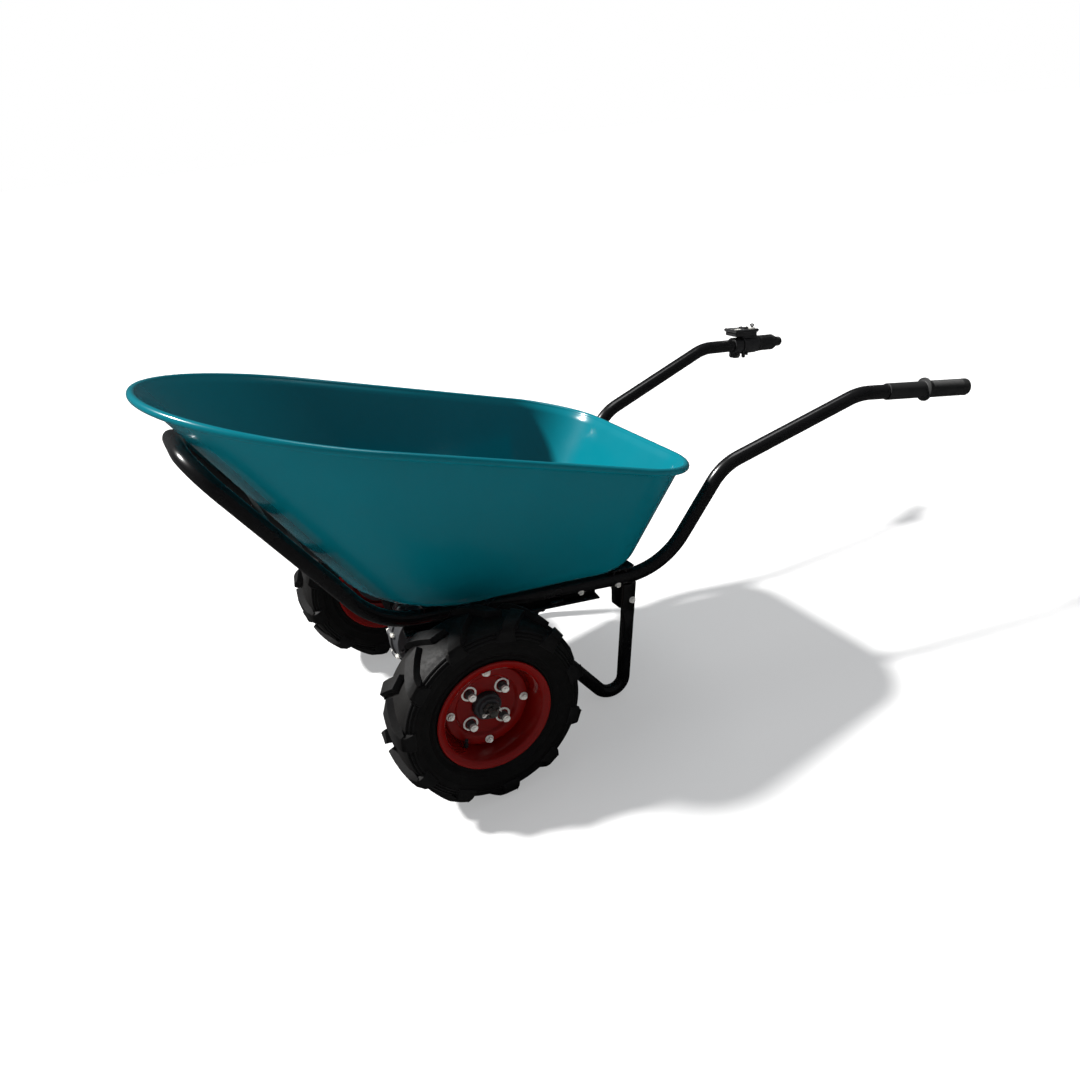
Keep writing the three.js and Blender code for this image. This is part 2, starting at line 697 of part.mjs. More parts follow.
// The barrel and flange of one rim half: up the tyre's side, round the lip and back inside.
function flangeEdge(hand) {
  const edge = [
    [BARREL_R, 30], [102.4, 44], [FLANGE_R - 3, 46], [FLANGE_R, 51], [FLANGE_R - 4, 53], [99.5, 47],
    [BARREL_R - 4, 31],
  ];
  return edge.map(([r, w]) => [r, hand * w]);
}

// The outer half carries the flange that faces out, the barrel and the dished disc.
function rimOuter(side) {
  const { back, sheet, hole, step } = DISC;
  const profile = [
    [hole, back], [62, back], [66, back + step], [78, back + step], [82, back], [BARREL_R - 4, back],
    ...flangeEdge(1),
    [BARREL_R - 8, back + sheet], [84, back + sheet], [80, back + step + sheet], [64, back + step + sheet],
    [60, back + sheet], [hole, back + sheet], [hole, back],
  ];
  const holes = STUD_PLACES.map(([x, z]) => onWheel(side, STUD.r + 0.8, -20, 30, x, z, 10));
  return cut(wheelTurned(side, profile, RIM_SEGMENTS), ...holes);
}

// The inner half bolts behind the disc and carries the inner flange.
function rimInner(side) {
  const { back } = DISC;
  const face = back - GAP;
  const profile = [
    [70, face], [BARREL_R - 4, face], ...flangeEdge(-1), [BARREL_R - 8, face - 3], [70, face - 3], [70, face],
  ];
  return wheelTurned(side, profile, RIM_SEGMENTS);
}

const HUB_END = 24;

// The hub: flange behind the disc, spigot through it and pressed-in studs.
function hub(side) {
  const face = DISC.back - GAP;
  const profile = [
    [SHAFT_R + GAP, -58], [22, -58], [26, -30], [26, face - 10], [60, face - 10], [60, face],
    [DISC.hole - 1, face], [DISC.hole - 1, 16], [22, HUB_END], [SHAFT_R + GAP, HUB_END], [SHAFT_R + GAP, -58],
  ];
  const studs = STUD_PLACES.map(([x, z]) => onWheel(side, STUD.r, face - 4, 26, x, z, 10));
  return join(wheelTurned(side, profile, 20), ...studs);
}

function hexNut(across, height, hole) {
  const shape = new THREE.Shape();
  for (let i = 0; i < 6; i += 1) {
    const angle = (Math.PI / 3) * i;
    const at = [(across / Math.sqrt(3)) * Math.cos(angle), (across / Math.sqrt(3)) * Math.sin(angle)];
    if (i === 0) shape.moveTo(...at);
    else shape.lineTo(...at);
  }
  shape.holes.push(new THREE.Path().absarc(0, 0, hole, 0, 2 * Math.PI, true));
  const nut = new THREE.ExtrudeGeometry(shape, { depth: height, bevelEnabled: false, curveSegments: 6 });
  return nut.rotateX(Math.PI / 2).translate(0, height, 0);
}

function axleNut(side) {
  const nut = hexNut(30, 15, SHAFT_R + 0.5);
  if (side < 0) nut.scale(1, -1, 1);
  return nut.translate(0, side * (WHEEL_Y + HUB_END + GAP), WHEEL_R);
}

const VALVE = {
  angle: THREE.MathUtils.degToRad(222), lean: THREE.MathUtils.degToRad(62), radius: 80, offset: 24,
};

// The valve stem stands out of the barrel beside the disc.
function valve(side) {
  const stem = new THREE.CylinderGeometry(3.2, 5, 26, 10);
  stem.rotateX(side * VALVE.lean);
  const x = VALVE.radius * Math.cos(VALVE.angle);
  const z = WHEEL_R + VALVE.radius * Math.sin(VALVE.angle);
  return stem.translate(x, side * (WHEEL_Y + VALVE.offset), z);
}

function wheel(side, label) {
  return [
    piece(`${label}_tyre`, wheelTurned(side, tyreProfile()), LOOKS.tyre),
    piece(`${label}_rim_outer`, rimOuter(side), LOOKS.rimPaint),
    piece(`${label}_rim_inner`, rimInner(side), LOOKS.rimPaint),
    piece(`${label}_hub`, hub(side), LOOKS.casting),
    piece(`${label}_half_shaft`, halfShaft(side), LOOKS.steel),
    piece(`${label}_axle_nut`, axleNut(side), LOOKS.zinc),
    piece(`${label}_valve`, valve(side), LOOKS.rubber),
  ];
}

// ---------------------------------------------------------------- handlebar pieces
// A group whose +X runs along a handle towards its tip, from the bend before the grip.
function handleGroup(side) {
  const from = new THREE.Vector3(...onSide(side, GRIP_BEND.x, GRIP_BEND.z));
  const to = new THREE.Vector3(...onSide(side, TUBE_TIP.x, TUBE_TIP.z));
  const along = to.sub(from).normalize();
  const across = new THREE.Vector3(0, 0, 1).cross(along).normalize();
  const up = along.clone().cross(across);
  const group = new THREE.Group();
  group.applyMatrix4(new THREE.Matrix4().makeBasis(along, across, up).setPosition(from));
  return group;
}

function turnedX(profile) {
  return turned(profile, 20).rotateZ(-Math.PI / 2);
}

const BORE_R = TUBE_R + 0.6;
const GRIP_RUN = TUBE_TIP.x - GRIP_BEND.x;
// From the bend's corner to the tube's end.
const TIP = Math.hypot(GRIP_RUN, SPLAY * GRIP_RUN, TUBE_TIP.z - GRIP_BEND.z);

// A long sleeve from the bend, a hand stop, then the grip itself.
function leftGrip() {
  const start = 76;
  const stop = 184;
  const profile = [
    [BORE_R, start], [18.6, start], [18.6, stop], [26.5, stop], [26.5, stop + 5], [19, stop + 10],
    [18.5, TIP - 6], [19.5, TIP], [17, TIP + 6], [0, TIP + 6], [0, TIP + 1], [BORE_R, TIP + 1],
    [BORE_R, start],
  ];
  return turnedX(profile);
}

const CLAMP = [112, 142];
const HOUSING = [143, 206];
const SLEEVE = [206.6, 268];

// The end cap beyond the throttle sleeve narrows to a short stub.
function rightGrip() {
  const start = SLEEVE[1] + 0.6;
  const tubeEnd = TIP - RIGHT_TUBE_CUT + 1;
  const profile = [
    [BORE_R, start], [21.5, start], [21, start + 5], [14.5, tubeEnd + 5], [12.8, tubeEnd + 9],
    [12.5, TIP - 3], [10, TIP + 1], [0, TIP + 1], [0, tubeEnd], [BORE_R, tubeEnd], [BORE_R, start],
  ];
  return turnedX(profile);
}

function throttleSleeve() {
  const [start, end] = SLEEVE;
  const profile = [
    [BORE_R, start], [22.5, start], [22.5, start + 6], [21, start + 9], [21, end - 3], [21.5, end],
    [BORE_R, end], [BORE_R, start],
  ];
  const body = turnedX(profile);
  const paddle = block([start + 10, 10, -23], [end - 12, 20, -8]);
  return cut(join(body, paddle), tubeBore(SLEEVE));
}

function ringX(outer, start, end) {
  return turnedX([[BORE_R, start], [outer, start], [outer, end], [BORE_R, end], [BORE_R, start]]);
}

// What a piece on the handle is bored with, a little longer than the piece.
function tubeBore([start, end]) {
  return turnedX([[0, start - 5], [BORE_R, start - 5], [BORE_R, end + 5], [0, end + 5]]);
}

function throttleHousing() {
  const [start, end] = HOUSING;
  const saddle = block([start, -14, 12], [end - 8, 14, 26]);
  const gland = new THREE.CylinderGeometry(5, 6, 14, 10).translate(start + 20, 0, 0);
  gland.rotateX(Math.PI / 2).translate(0, 0, -29);
  return cut(join(ringX(24, start, end), saddle, gland), tubeBore(HOUSING));
}

function controlClamp() {
  const [start, end] = CLAMP;
  const lug = block([start, -9, -34], [end, 9, -14]);
  const split = block([start - 5, -1.5, -40], [end + 5, 1.5, -10]);
  return cut(join(ringX(21, start, end), lug), tubeBore(CLAMP), split);
}

const BOX = { start: 100, end: 192, half: 25, low: 26 + GAP, high: 44 };

// The gauge and key box, with a hollow for the gauge, a bore for the key and a slot for the rocker.
function controlBox() {
  const { start, end, half, low, high } = BOX;
  const body = block([start, -half, low], [end, half, high]);
  const gauge = block([start + 8, -17, high - 5], [start + 42, 17, high + 5]);
  const keyBore = new THREE.CylinderGeometry(8.4, 8.4, 30, 16).rotateX(Math.PI / 2);
  keyBore.translate(start + 76, -10, high);
  const rockerSlot = block([start + 50, -6, high - 12], [start + 64, 18, high + 5]);
  return cut(body, gauge, keyBore, rockerSlot);
}

function gaugeLens() {
  const { start, high } = BOX;
  return block([start + 8.4, -16.6, high - 4.6], [start + 41.6, 16.6, high - 0.6]);
}

const KEY_AT = [BOX.start + 76, -10];

function keyBarrel() {
  const { high } = BOX;
  const lip = high + 0.4;
  const profile = [[0, high - 14], [8, high - 14], [8, lip], [9.5, lip], [9.5, high + 3], [0, high + 3]];
  const barrel = turned(profile, 16).rotateX(Math.PI / 2);
  const slot = block([-1.4, -5, high - 6], [1.4, 5, high + 6]);
  return cut(barrel, slot).translate(...KEY_AT, 0);
}

function key() {
  const { high } = BOX;
  const blade = block([-1, -4, high - 4], [1, 4, high + 5]);
  const bow = block([-1.6, -8, high + 4], [1.6, 8, high + 14]);
  const eye = new THREE.CylinderGeometry(2.2, 2.2, 10, 10).rotateZ(Math.PI / 2).translate(0, 0, high + 10);
  return cut(join(blade, bow), eye).translate(...KEY_AT, 0);
}

const ROCKER_AT = [BOX.start + 57, 6];

function rocker() {
  const { high } = BOX;
  const half = 10.5;
  const outline = [
    [-half, high - 1], [-half, high + 3.5], [0, high + 0.6], [half, high + 3.5], [half, high - 1],
    [0, high - 9],
  ];
  const body = plateXZ(outline, -5.6, 5.6).rotateZ(Math.PI / 2);
  return body.translate(ROCKER_AT[0], ROCKER_AT[1], 0);
}

// ---------------------------------------------------------------- assembly
const SIDES = [['left', -1], ['right', 1]];

function frameGroup() {
  const group = new THREE.Group();
  group.add(
    piece('tray', tray(), LOOKS.trayPaint),
    piece('front_loop_tube', frontLoop(), LOOKS.framePaint),
    piece('upper_nose_strap', noseStrap(0.62, 5), LOOKS.framePaint),
    piece('lower_nose_strap', noseStrap(0.36, -3), LOOKS.framePaint),
    piece('front_cross_member', crossMember(FRONT_MEMBER_X), LOOKS.framePaint),
    piece('rear_cross_member', rearMember(), LOOKS.framePaint),
    piece('ring_gear', ringGear(), LOOKS.steel),
    piece('motor_can', motorCan(), LOOKS.casting),
    piece('motor_cap', motorCap(), LOOKS.casting),
    piece('motor_rotor', motorRotor(), LOOKS.steel),
    piece('battery_box', batteryBox(), LOOKS.framePaint),
    piece('battery_pack', batteryPack(), LOOKS.plastic),
    piece('motor_controller', controller(), LOOKS.casting),
    piece('battery_front_strap', batteryStrap(142), LOOKS.framePaint),
    piece('battery_rear_strap', batteryStrap(228), LOOKS.framePaint),
    piece('battery_door', batteryDoor(), LOOKS.framePaint),
    piece('battery_hinge', batteryHinge(), LOOKS.zinc),
    piece('battery_latch', batteryLatch(), LOOKS.zinc),
    piece('charge_port', chargePort(), LOOKS.plastic),
  );
  for (const [label, side] of SIDES) {
    group.add(
      piece(`${label}_handle_tube`, handleTube(side), LOOKS.framePaint),
      piece(`${label}_axle_rail`, axleRail(side), LOOKS.framePaint),
      piece(`${label}_leg`, leg(side), LOOKS.framePaint),
      piece(`${label}_leg_bracket`, legBracket(side), LOOKS.framePaint),
      piece(`${label}_axle_hanger`, hanger(side), LOOKS.framePaint),
      piece(`${label}_axle_tube`, axleTube(side), LOOKS.framePaint),
      piece(`${label}_axle_bearing`, bearing(side), LOOKS.steel),
      piece(`${label}_gear_case`, gearCase(side), LOOKS.casting),
    );
  }
  return group;
}

function controls() {
  const left = handleGroup(-1);
  left.add(piece('left_grip', leftGrip(), LOOKS.rubber));
  const right = handleGroup(1);
  right.add(
    piece('right_grip', rightGrip(), LOOKS.rubber),
    piece('throttle_sleeve', throttleSleeve(), LOOKS.rubber),
    piece('throttle_housing', throttleHousing(), LOOKS.plastic),
    piece('control_clamp', controlClamp(), LOOKS.plastic),
    piece('control_box', controlBox(), LOOKS.plastic),
    piece('gauge_lens', gaugeLens(), LOOKS.lens),
    piece('key_barrel', keyBarrel(), LOOKS.zinc),
    piece('key', key(), LOOKS.plastic),
    piece('direction_rocker', rocker(), LOOKS.plastic),
  );
  return [left, right];
}

// The angle that brings the leg bends down to the ground while the tyres stand on it.
function restTilt() {
  const back = FOOT.x;
  const down = WHEEL_R - FOOT.z;
  const lowest = WHEEL_R - FOOT.bend - LEG_R;
  return Math.asin(lowest / Math.hypot(back, down)) - Math.atan2(down, back);
}

const tipped = new THREE.Group();
tipped.add(frameGroup(), ...controls());
tipped.children.forEach((child) => child.position.setZ(child.position.z - WHEEL_R));
tipped.rotation.y = restTilt();
tipped.position.z = WHEEL_R;

const wheelbarrow = new THREE.Group();
wheelbarrow.add(tipped);
for (const [label, side] of SIDES) wheelbarrow.add(...wheel(side, label));

wheelbarrow.updateMatrixWorld(true);
const length = new THREE.Box3().setFromObject(wheelbarrow, true);
wheelbarrow.position.x = -(length.min.x + length.max.x) / 2;

export default wheelbarrow;
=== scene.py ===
import json
import math

import bmesh
import bpy
from mathutils import Matrix, Vector


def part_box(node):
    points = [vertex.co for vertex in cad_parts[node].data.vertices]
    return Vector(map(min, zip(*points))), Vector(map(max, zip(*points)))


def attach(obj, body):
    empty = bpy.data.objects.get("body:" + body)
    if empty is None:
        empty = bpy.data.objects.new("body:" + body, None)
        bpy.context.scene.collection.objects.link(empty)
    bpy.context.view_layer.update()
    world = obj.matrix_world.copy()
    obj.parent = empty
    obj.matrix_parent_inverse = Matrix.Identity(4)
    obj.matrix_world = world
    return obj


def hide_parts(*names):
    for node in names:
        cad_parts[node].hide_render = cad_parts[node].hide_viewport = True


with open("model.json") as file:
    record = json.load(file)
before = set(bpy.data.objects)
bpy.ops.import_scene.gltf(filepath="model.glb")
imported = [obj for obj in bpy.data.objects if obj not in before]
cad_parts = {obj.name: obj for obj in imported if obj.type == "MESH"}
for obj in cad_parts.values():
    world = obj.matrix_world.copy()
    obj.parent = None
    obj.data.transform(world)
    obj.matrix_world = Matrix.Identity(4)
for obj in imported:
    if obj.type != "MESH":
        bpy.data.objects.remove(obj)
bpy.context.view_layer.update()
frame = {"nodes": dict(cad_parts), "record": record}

# ---------------------------------------------------------------- dimensions
# Millimetres. The level frame has its rails level, the wheel centre above x = 0 and the ground at z = 0.
# It tips back about the axle to rest on its legs, which LEVEL does.
TUBE_R = 16
TUBE_WALL = 1.8
LEG_R = 15
WHEEL_R = 200
WHEEL_Y = 329
RAIL_Z = 329
SPLAY = 0.127            # the side tubes spread by this slope towards the handles
SIDE_Y = 170             # half spread of the side tubes above the axle
FLOOR_Z = 355            # underside of the tray's floor
SHEET = 2.4
BEAD_R = 7.5
RIM_Z = 683
RIM_SLOPE = -0.23
NOSE = (-400, 691)
FRONT_BEND = (-132, RAIL_Z)
REAR_BEND = (474, RAIL_Z)
RISE_TOP = (616, 546)
GRIP_BEND = (956, 666)
TUBE_TIP = (1263, 649.4)
LOOP_RADII = [150, 80, 80, 150]
HANDLE_RADII = [170, 120, 150]
RIGHT_TUBE_CUT = 27      # the right tube stops short inside its grip
TUBE_JOINT_X = -20
SIDES = (("left", -1), ("right", 1))

TRAY_RIM = dict(nose=-440, start=-100, half_start=299, turn_x=383, half_turn=313, corner=156, back=539)
TRAY_FOOT = dict(nose=-144, start=60, half_start=230, turn_x=320, half_turn=248, corner=96, back=416)
FLOOR_FILLET = 36
RIM_LIP = 8              # the sheet turns out by this much below the bead
FLOOR_MIDDLE = 140

FRONT_MEMBER_X = -36
REAR_MEMBER_X = 368
MEMBER = dict(half=17, wall=4, end=14, low=345.3, high=354.7)
TAB = dict(width=26, reach=23.5)
AXLE_RAIL = dict(front=-90, rear=322, top=312.7, height=16.7, half=15, sheet=4)
RAIL_STITCHES = (-60, 40, 150, 260)
STITCH = 34
FOOT = (348, 80)
FOOT_BEND = 35
BRACE_ANGLE = math.radians(50)
LEG_TOP = (397, 311.5)
LEG_LEAN = (383, 80)
BRACE_Z = 280
BATTERY = dict(front=124, rear=248, half=98, low=226, high=300)
AXLE_TUBE = dict(inner=20, outer=25, start=41, end=258)
HANGER_Y = 168
MOTOR_LIFT = math.radians(25)
MOTOR_REACH = 78
MOTOR_X = MOTOR_REACH * math.cos(MOTOR_LIFT)
MOTOR_RISE = MOTOR_REACH * math.sin(MOTOR_LIFT)
MOTOR_AT = (MOTOR_X, MOTOR_RISE)
MOTOR = dict(r=46, start=37, end=138)
BORE_R = TUBE_R + 0.6
HOUSING = (143, 206)
SLEEVE = (206.6, 268)
BOX = dict(start=100, end=192, half=25, low=26.3, high=44)

LUGS = 11                # tread lugs on each side of a tyre
FIRST_LUG = math.radians(67.5)
STUD_CIRCLE = 48
SPLIT_CIRCLE = 76
VALVE_REACH = 80
VALVE_ANGLE = math.radians(222)


MM = 0.001


def move(x, y, z):
    return Matrix.Translation((x, y, z))


def rest_frame():
    """Level-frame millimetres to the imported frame's metres."""
    axis = frame["record"]["mounts"][0]["axis"]
    tilt = math.atan2(axis[0], axis[2])
    low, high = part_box("left_tyre")
    axle = Vector(((low.x + high.x) / 2, 0, (low.z + high.z) / 2))
    tip = Matrix.Translation(axle) @ Matrix.Rotation(tilt, 4, "Y")
    return tip @ Matrix.Scale(MM, 4) @ move(0, 0, -WHEEL_R)


LEVEL = rest_frame()
GRIP_RUN = TUBE_TIP[0] - GRIP_BEND[0]
GRIP_END = math.hypot(GRIP_RUN, SPLAY * GRIP_RUN, TUBE_TIP[1] - GRIP_BEND[1])
AXLE_X = LEVEL.translation.x + (LEVEL.to_3x3() @ Vector((0, 0, WHEEL_R))).x


def side_y(x):
    return SIDE_Y + SPLAY * x


def on_side(side, x, z):
    return Vector((x, side * side_y(x), z))


def handle_frame(side):
    """+X along a handle from the bend before the grip to its tip, +Z up."""
    start = on_side(side, *GRIP_BEND)
    along = (on_side(side, *TUBE_TIP) - start).normalized()
    across = Vector((0, 0, 1)).cross(along).normalized()
    up = along.cross(across)
    basis = Matrix((along, across, up)).transposed().to_4x4()
    return LEVEL @ Matrix.Translation(start) @ basis


def wheel_frame(side):
    """A wheel's own millimetres: +Y outboard from its centre plane, axle at the origin."""
    scale = Matrix.Diagonal((MM, side * MM, MM, 1))
    return move(AXLE_X, side * WHEEL_Y * MM, WHEEL_R * MM) @ scale


# ---------------------------------------------------------------- mesh building
SHARP = math.radians(25)
UPRIGHT = Matrix.Rotation(math.pi / 2, 4, "X")      # turns +Y to +Z
ALONG_X = Matrix.Rotation(-math.pi / 2, 4, "Z")     # turns +Y to +X


def turns(count, shift=0):
    """Angles spaced evenly round a full turn."""
    return [2 * math.pi * (i + shift) / count for i in range(count)]


def polar(radius, angle, centre=(0, 0)):
    """A point at a radius and an angle from a centre."""
    return centre[0] + radius * math.cos(angle), centre[1] + radius * math.sin(angle)


def facing(direction, at=(0, 0, 0)):
    """Turns local +Z to a direction and moves the origin to a point."""
    turn = Vector((0, 0, 1)).rotation_difference(Vector(direction)).to_matrix().to_4x4()
    return Matrix.Translation(at) @ turn


class Shape:
    """Collects closed shapes into one mesh. Every method takes the place of what it adds."""

    def __init__(self):
        self.bm = bmesh.new()

    def finish_part(self, verts, at, rounding):
        bm = self.bm
        faces = list({face for vert in verts for face in vert.link_faces})
        bmesh.ops.recalc_face_normals(bm, faces=faces)
        bmesh.ops.transform(bm, matrix=at, verts=verts)
        if at.determinant() < 0:
            bmesh.ops.reverse_faces(bm, faces=faces)
        if rounding:
            edges = {edge for face in faces for edge in face.edges}
            sharp = [e for e in edges if len(e.link_faces) == 2 and e.calc_face_angle(0) > SHARP]
            bmesh.ops.bevel(bm, geom=sharp, offset=rounding, segments=2, profile=0.5, affect="EDGES",
                            clamp_overlap=True)

    def join(self, rings, loop, closed=True):
        """Faces between neighbouring rings of points, which may loop back to the first ring."""
        rows = [[self.bm.verts.new(point) for point in ring] for ring in rings]
        size = len(rows[0])
        for i in range(len(rows) if loop else len(rows) - 1):
            low, high = rows[i], rows[(i + 1) % len(rows)]
            for k in range(size if closed else size - 1):
                j = (k + 1) % size
                self.bm.faces.new((low[k], low[j], high[j], high[k]))
        return rows

    def loft(self, rings, loop=False, at=Matrix(), rounding=0):
        """Joins closed rings of points; the ends are capped or looped back to the start."""
        rows = self.join(rings, loop)
        if not loop:
            self.bm.faces.new(rows[0])
            self.bm.faces.new(rows[-1])
        self.finish_part([vert for row in rows for vert in row], at, rounding)
        return self

    def turn(self, profile, segments=64, at=Matrix()):
        """Turns [radius, y] pairs about Y. A profile that starts off the axis closes on itself."""
        closed = profile[0][0] > 1e-6
        rings = []
        for angle in turns(segments):
            rings.append([(r * math.cos(angle), y, r * math.sin(angle)) for r, y in profile])
        verts = [vert for row in self.join(rings, True, closed) for vert in row]
        if not closed:
            bmesh.ops.remove_doubles(self.bm, verts=verts, dist=1e-4)
            verts = [vert for vert in verts if vert.is_valid]
            flat = [f for f in {f for v in verts for f in v.link_faces} if f.calc_area() < 1e-9]
            bmesh.ops.delete(self.bm, geom=flat, context="FACES_ONLY")
        self.finish_part(verts, at, 0)
        return self

    def turn_along(self, profile, segments=64):
        """Turns [radius, x] pairs about X. Points on the axis are nudged off it, so the loop closes."""
        return self.turn([(max(r, 0.02), x) for r, x in profile], segments, ALONG_X)

    def prism(self, outline, y0, y1, at=Matrix(), rounding=0.5):
        """A plate drawn in X and Z between two Y planes."""
        rings = [[(x, y, z) for x, z in outline] for y in (y0, y1)]
        return self.loft(rings, at=at, rounding=rounding)

    def box(self, low, high, at=Matrix(), rounding=0.6):
        outline = [(low[0], low[2]), (high[0], low[2]), (high[0], high[2]), (low[0], high[2])]
        return self.prism(outline, low[1], high[1], at, rounding)

    def tube(self, path, radius, sides=32, at=Matrix(), wall=0, scale=None):
        """A bar or pipe along points; scale(i) may give the section's two half widths."""
        rings = []
        normal = None
        for i, point in enumerate(path):
            ahead = path[min(i + 1, len(path) - 1)] - path[max(i - 1, 0)]
            ahead.normalize()
            if normal is None:
                guide = Vector((0, 1, 0)) if abs(ahead.y) < 0.9 else Vector((0, 0, 1))
                normal = ahead.cross(guide).normalized()
            normal = (normal - ahead * normal.dot(ahead)).normalized()
            other = ahead.cross(normal)
            wide, deep = scale(i) if scale else (radius, radius)
            rings.append([point + normal * wide * math.cos(a) + other * deep * math.sin(a)
                          for a in turns(sides)])
        if wall:
            share = (radius - wall) / radius
            inner = [[point + (vert - point) * share for vert in ring] for point, ring in zip(path, rings)]
            return self.loft(rings + inner[::-1], loop=True, at=at)
        return self.loft(rings, at=at)

    def washer(self, radius, hole, thick, at):
        edge = 0.3
        profile = [(hole, 0), (radius - edge, 0), (radius, edge), (radius, thick - edge),
                   (radius - edge, thick), (hole, thick)]
        return self.turn(profile, 28, at @ UPRIGHT)

    def hexagon(self, across, height, at, spin=0.0):
        """A nut or bolt head with its corners turned off."""
        corner = across / math.sqrt(3)
        rings = []
        for z, share in ((0, 0.94), (0.1 * height, 1), (0.88 * height, 1), (height, 0.9)):
            row = []
            for angle in turns(24):
                flat = (across / 2) / math.cos((angle + math.pi / 6) % (math.pi / 3) - math.pi / 6)
                row.append((*polar(min(flat, corner * share), angle + spin), z))
            rings.append(row)
        return self.loft(rings, at=at)

    def rod(self, radius, low, high, at, sides=20, chamfer=0.5):
        """A pin along local Z."""
        profile = [(0, low), (radius - chamfer, low), (radius, low + chamfer), (radius, high - chamfer)]
        profile += [(radius - chamfer, high), (0, high)]
        return self.turn(profile, sides, at @ UPRIGHT)

    def bolt(self, at, across=13, height=6, washer=10, tip=0):
        """Washer and head, with the thread's end standing above a nut where tip is given."""
        thick = 1.6
        self.washer(washer, across * 0.3, thick, at)
        lift = at @ move(0, 0, thick)
        self.hexagon(across, height, lift)
        if tip:
            self.rod(across * 0.29, height * 0.5, height + tip, lift, 16)


def rounded(corners, radii):
    """Corners joined by straight runs, with a true arc at each inner corner."""
    steps = 14
    points = [Vector(corner) for corner in corners]
    path = [points[0]]
    for i in range(1, len(points) - 1):
        into = (points[i] - points[i - 1]).normalized()
        away = (points[i + 1] - points[i]).normalized()
        turn = into.angle(away)
        radius = radii[i - 1]
        start = points[i] - into * radius * math.tan(turn / 2)
        inward = (away - into * away.dot(into)).normalized()
        for k in range(steps + 1):
            angle = turn * k / steps
            path.append(start + into * radius * math.sin(angle) + inward * radius * (1 - math.cos(angle)))
    path.append(points[-1])
    return path


# ---------------------------------------------------------------- materials
MATERIALS = {}


def shader(name):
    MATERIALS[name] = bpy.data.materials.new(name)
    MATERIALS[name].use_nodes = True
    tree = MATERIALS[name].node_tree
    return tree, tree.nodes["Principled BSDF"]


def feed(target, **inputs):
    """Sets a node's inputs, or links the sockets given for them. An underscore stands for a space."""
    for name, value in inputs.items():
        socket = target.inputs[name.replace("_", " ")]
        if isinstance(value, bpy.types.NodeSocket):
            target.id_data.links.new(value, socket)
        else:
            socket.default_value = value
    return target


def node(tree, kind, **inputs):
    return feed(tree.nodes.new(kind), **inputs)


def noise(tree, scale, detail=3.0, roughness=0.5, stretch=(1, 1, 1)):
    """Noise in the piece's own metres: a scale of 1000 is about a millimetre."""
    place = node(tree, "ShaderNodeTexCoord")
    mapping = node(tree, "ShaderNodeMapping", Vector=place.outputs["Object"], Scale=stretch)
    made = node(tree, "ShaderNodeTexNoise", Vector=mapping.outputs["Vector"], Scale=scale, Detail=detail,
                Roughness=roughness)
    return made.outputs["Fac"]


def spread(tree, value, low, high, start=0.3, end=0.7):
    """Maps a noise's middle range to a range of numbers."""
    made = node(tree, "ShaderNodeMapRange", Value=value, From_Min=start, From_Max=end, To_Min=low,
                To_Max=high)
    return made.outputs["Result"]


def blend_colour(tree, factor, first, second):
    """Mixes two colours, each of them plain or linked."""
    made = node(tree, "ShaderNodeMix")
    made.data_type = "RGBA"
    tree.links.new(factor, made.inputs[0])
    for socket, colour in ((made.inputs[6], first), (made.inputs[7], second)):
        if isinstance(colour, tuple):
            socket.default_value = (*colour, 1)
        else:
            tree.links.new(colour, socket)
    return made.outputs[2]


def relief(tree, layers):
    """The normal of stacked bumps: pairs of a height and its depth in metres."""
    normal = None
    for height, depth in layers:
        bump = node(tree, "ShaderNodeBump", Strength=1.0, Distance=depth, Height=height)
        if normal:
            feed(bump, Normal=normal)
        normal = bump.outputs["Normal"]
    return normal


EDGE_HIGHLIGHT = (0.52, 0.62)     # pointiness where the painted highlight on convex edges starts, and where it is full


def two_tones(tree, drift, colour, other, edge_highlight=None):
    """One tone drifts into another, and convex edges may show a third, lighter tone as a painted highlight.
    """
    tone = blend_colour(tree, spread(tree, drift, 0, 1), colour, other)
    if edge_highlight:
        # convex edges, found by pointiness, take the lighter tone as a painted highlight
        geometry = node(tree, "ShaderNodeNewGeometry")
        highlight_share = spread(tree, geometry.outputs["Pointiness"], 0, 1, *EDGE_HIGHLIGHT)
        tone = blend_colour(tree, highlight_share, tone, edge_highlight)
    return tone


def paint(name, colour, deep, rough, coat, peel, edge_highlight=None):
    """Sprayed paint: slight tone drift, orange peel, and a lighter tone painted on edges as a highlight."""
    tree, bsdf = shader(name)
    feed(bsdf, Base_Color=two_tones(tree, noise(tree, 7, 2), colour, deep, edge_highlight),
         Roughness=spread(tree, noise(tree, 25, 3), rough * 0.93, rough * 1.08),
         Coat_Weight=coat, Coat_Roughness=0.05, Specular_IOR_Level=0.35,
         Normal=relief(tree, [(noise(tree, 160, 1), peel), (noise(tree, 900, 1), peel * 0.15)]))


def metal(name, colour, dull, rough, metallic, grain=(1, 1, 1)):
    """Bare or plated metal with fine scratches along its grain."""
    tree, bsdf = shader(name)
    feed(bsdf, Base_Color=two_tones(tree, noise(tree, 90, 4), colour, dull), Metallic=metallic,
         Roughness=spread(tree, noise(tree, 260, 4, stretch=grain), rough * 0.75, rough * 1.35),
         Normal=relief(tree, [(noise(tree, 900, 3, stretch=grain), 0.00003)]))


def moulded(name, colour, dull, rough, layers, specular=0.5, edge_highlight=None):
    """Rubber, plastic or casting: two tones, a rough surface, stacked grain and, where given, a painted
    highlight on edges.
    """
    tree, bsdf = shader(name)
    feed(bsdf, Base_Color=two_tones(tree, noise(tree, 22, 5, 0.6), colour, dull, edge_highlight),
         Roughness=spread(tree, noise(tree, 130, 4), rough * 0.88, rough * 1.1), Specular_IOR_Level=specular,
         Normal=relief(tree, [(noise(tree, scale, 3), depth) for scale, depth in layers]))


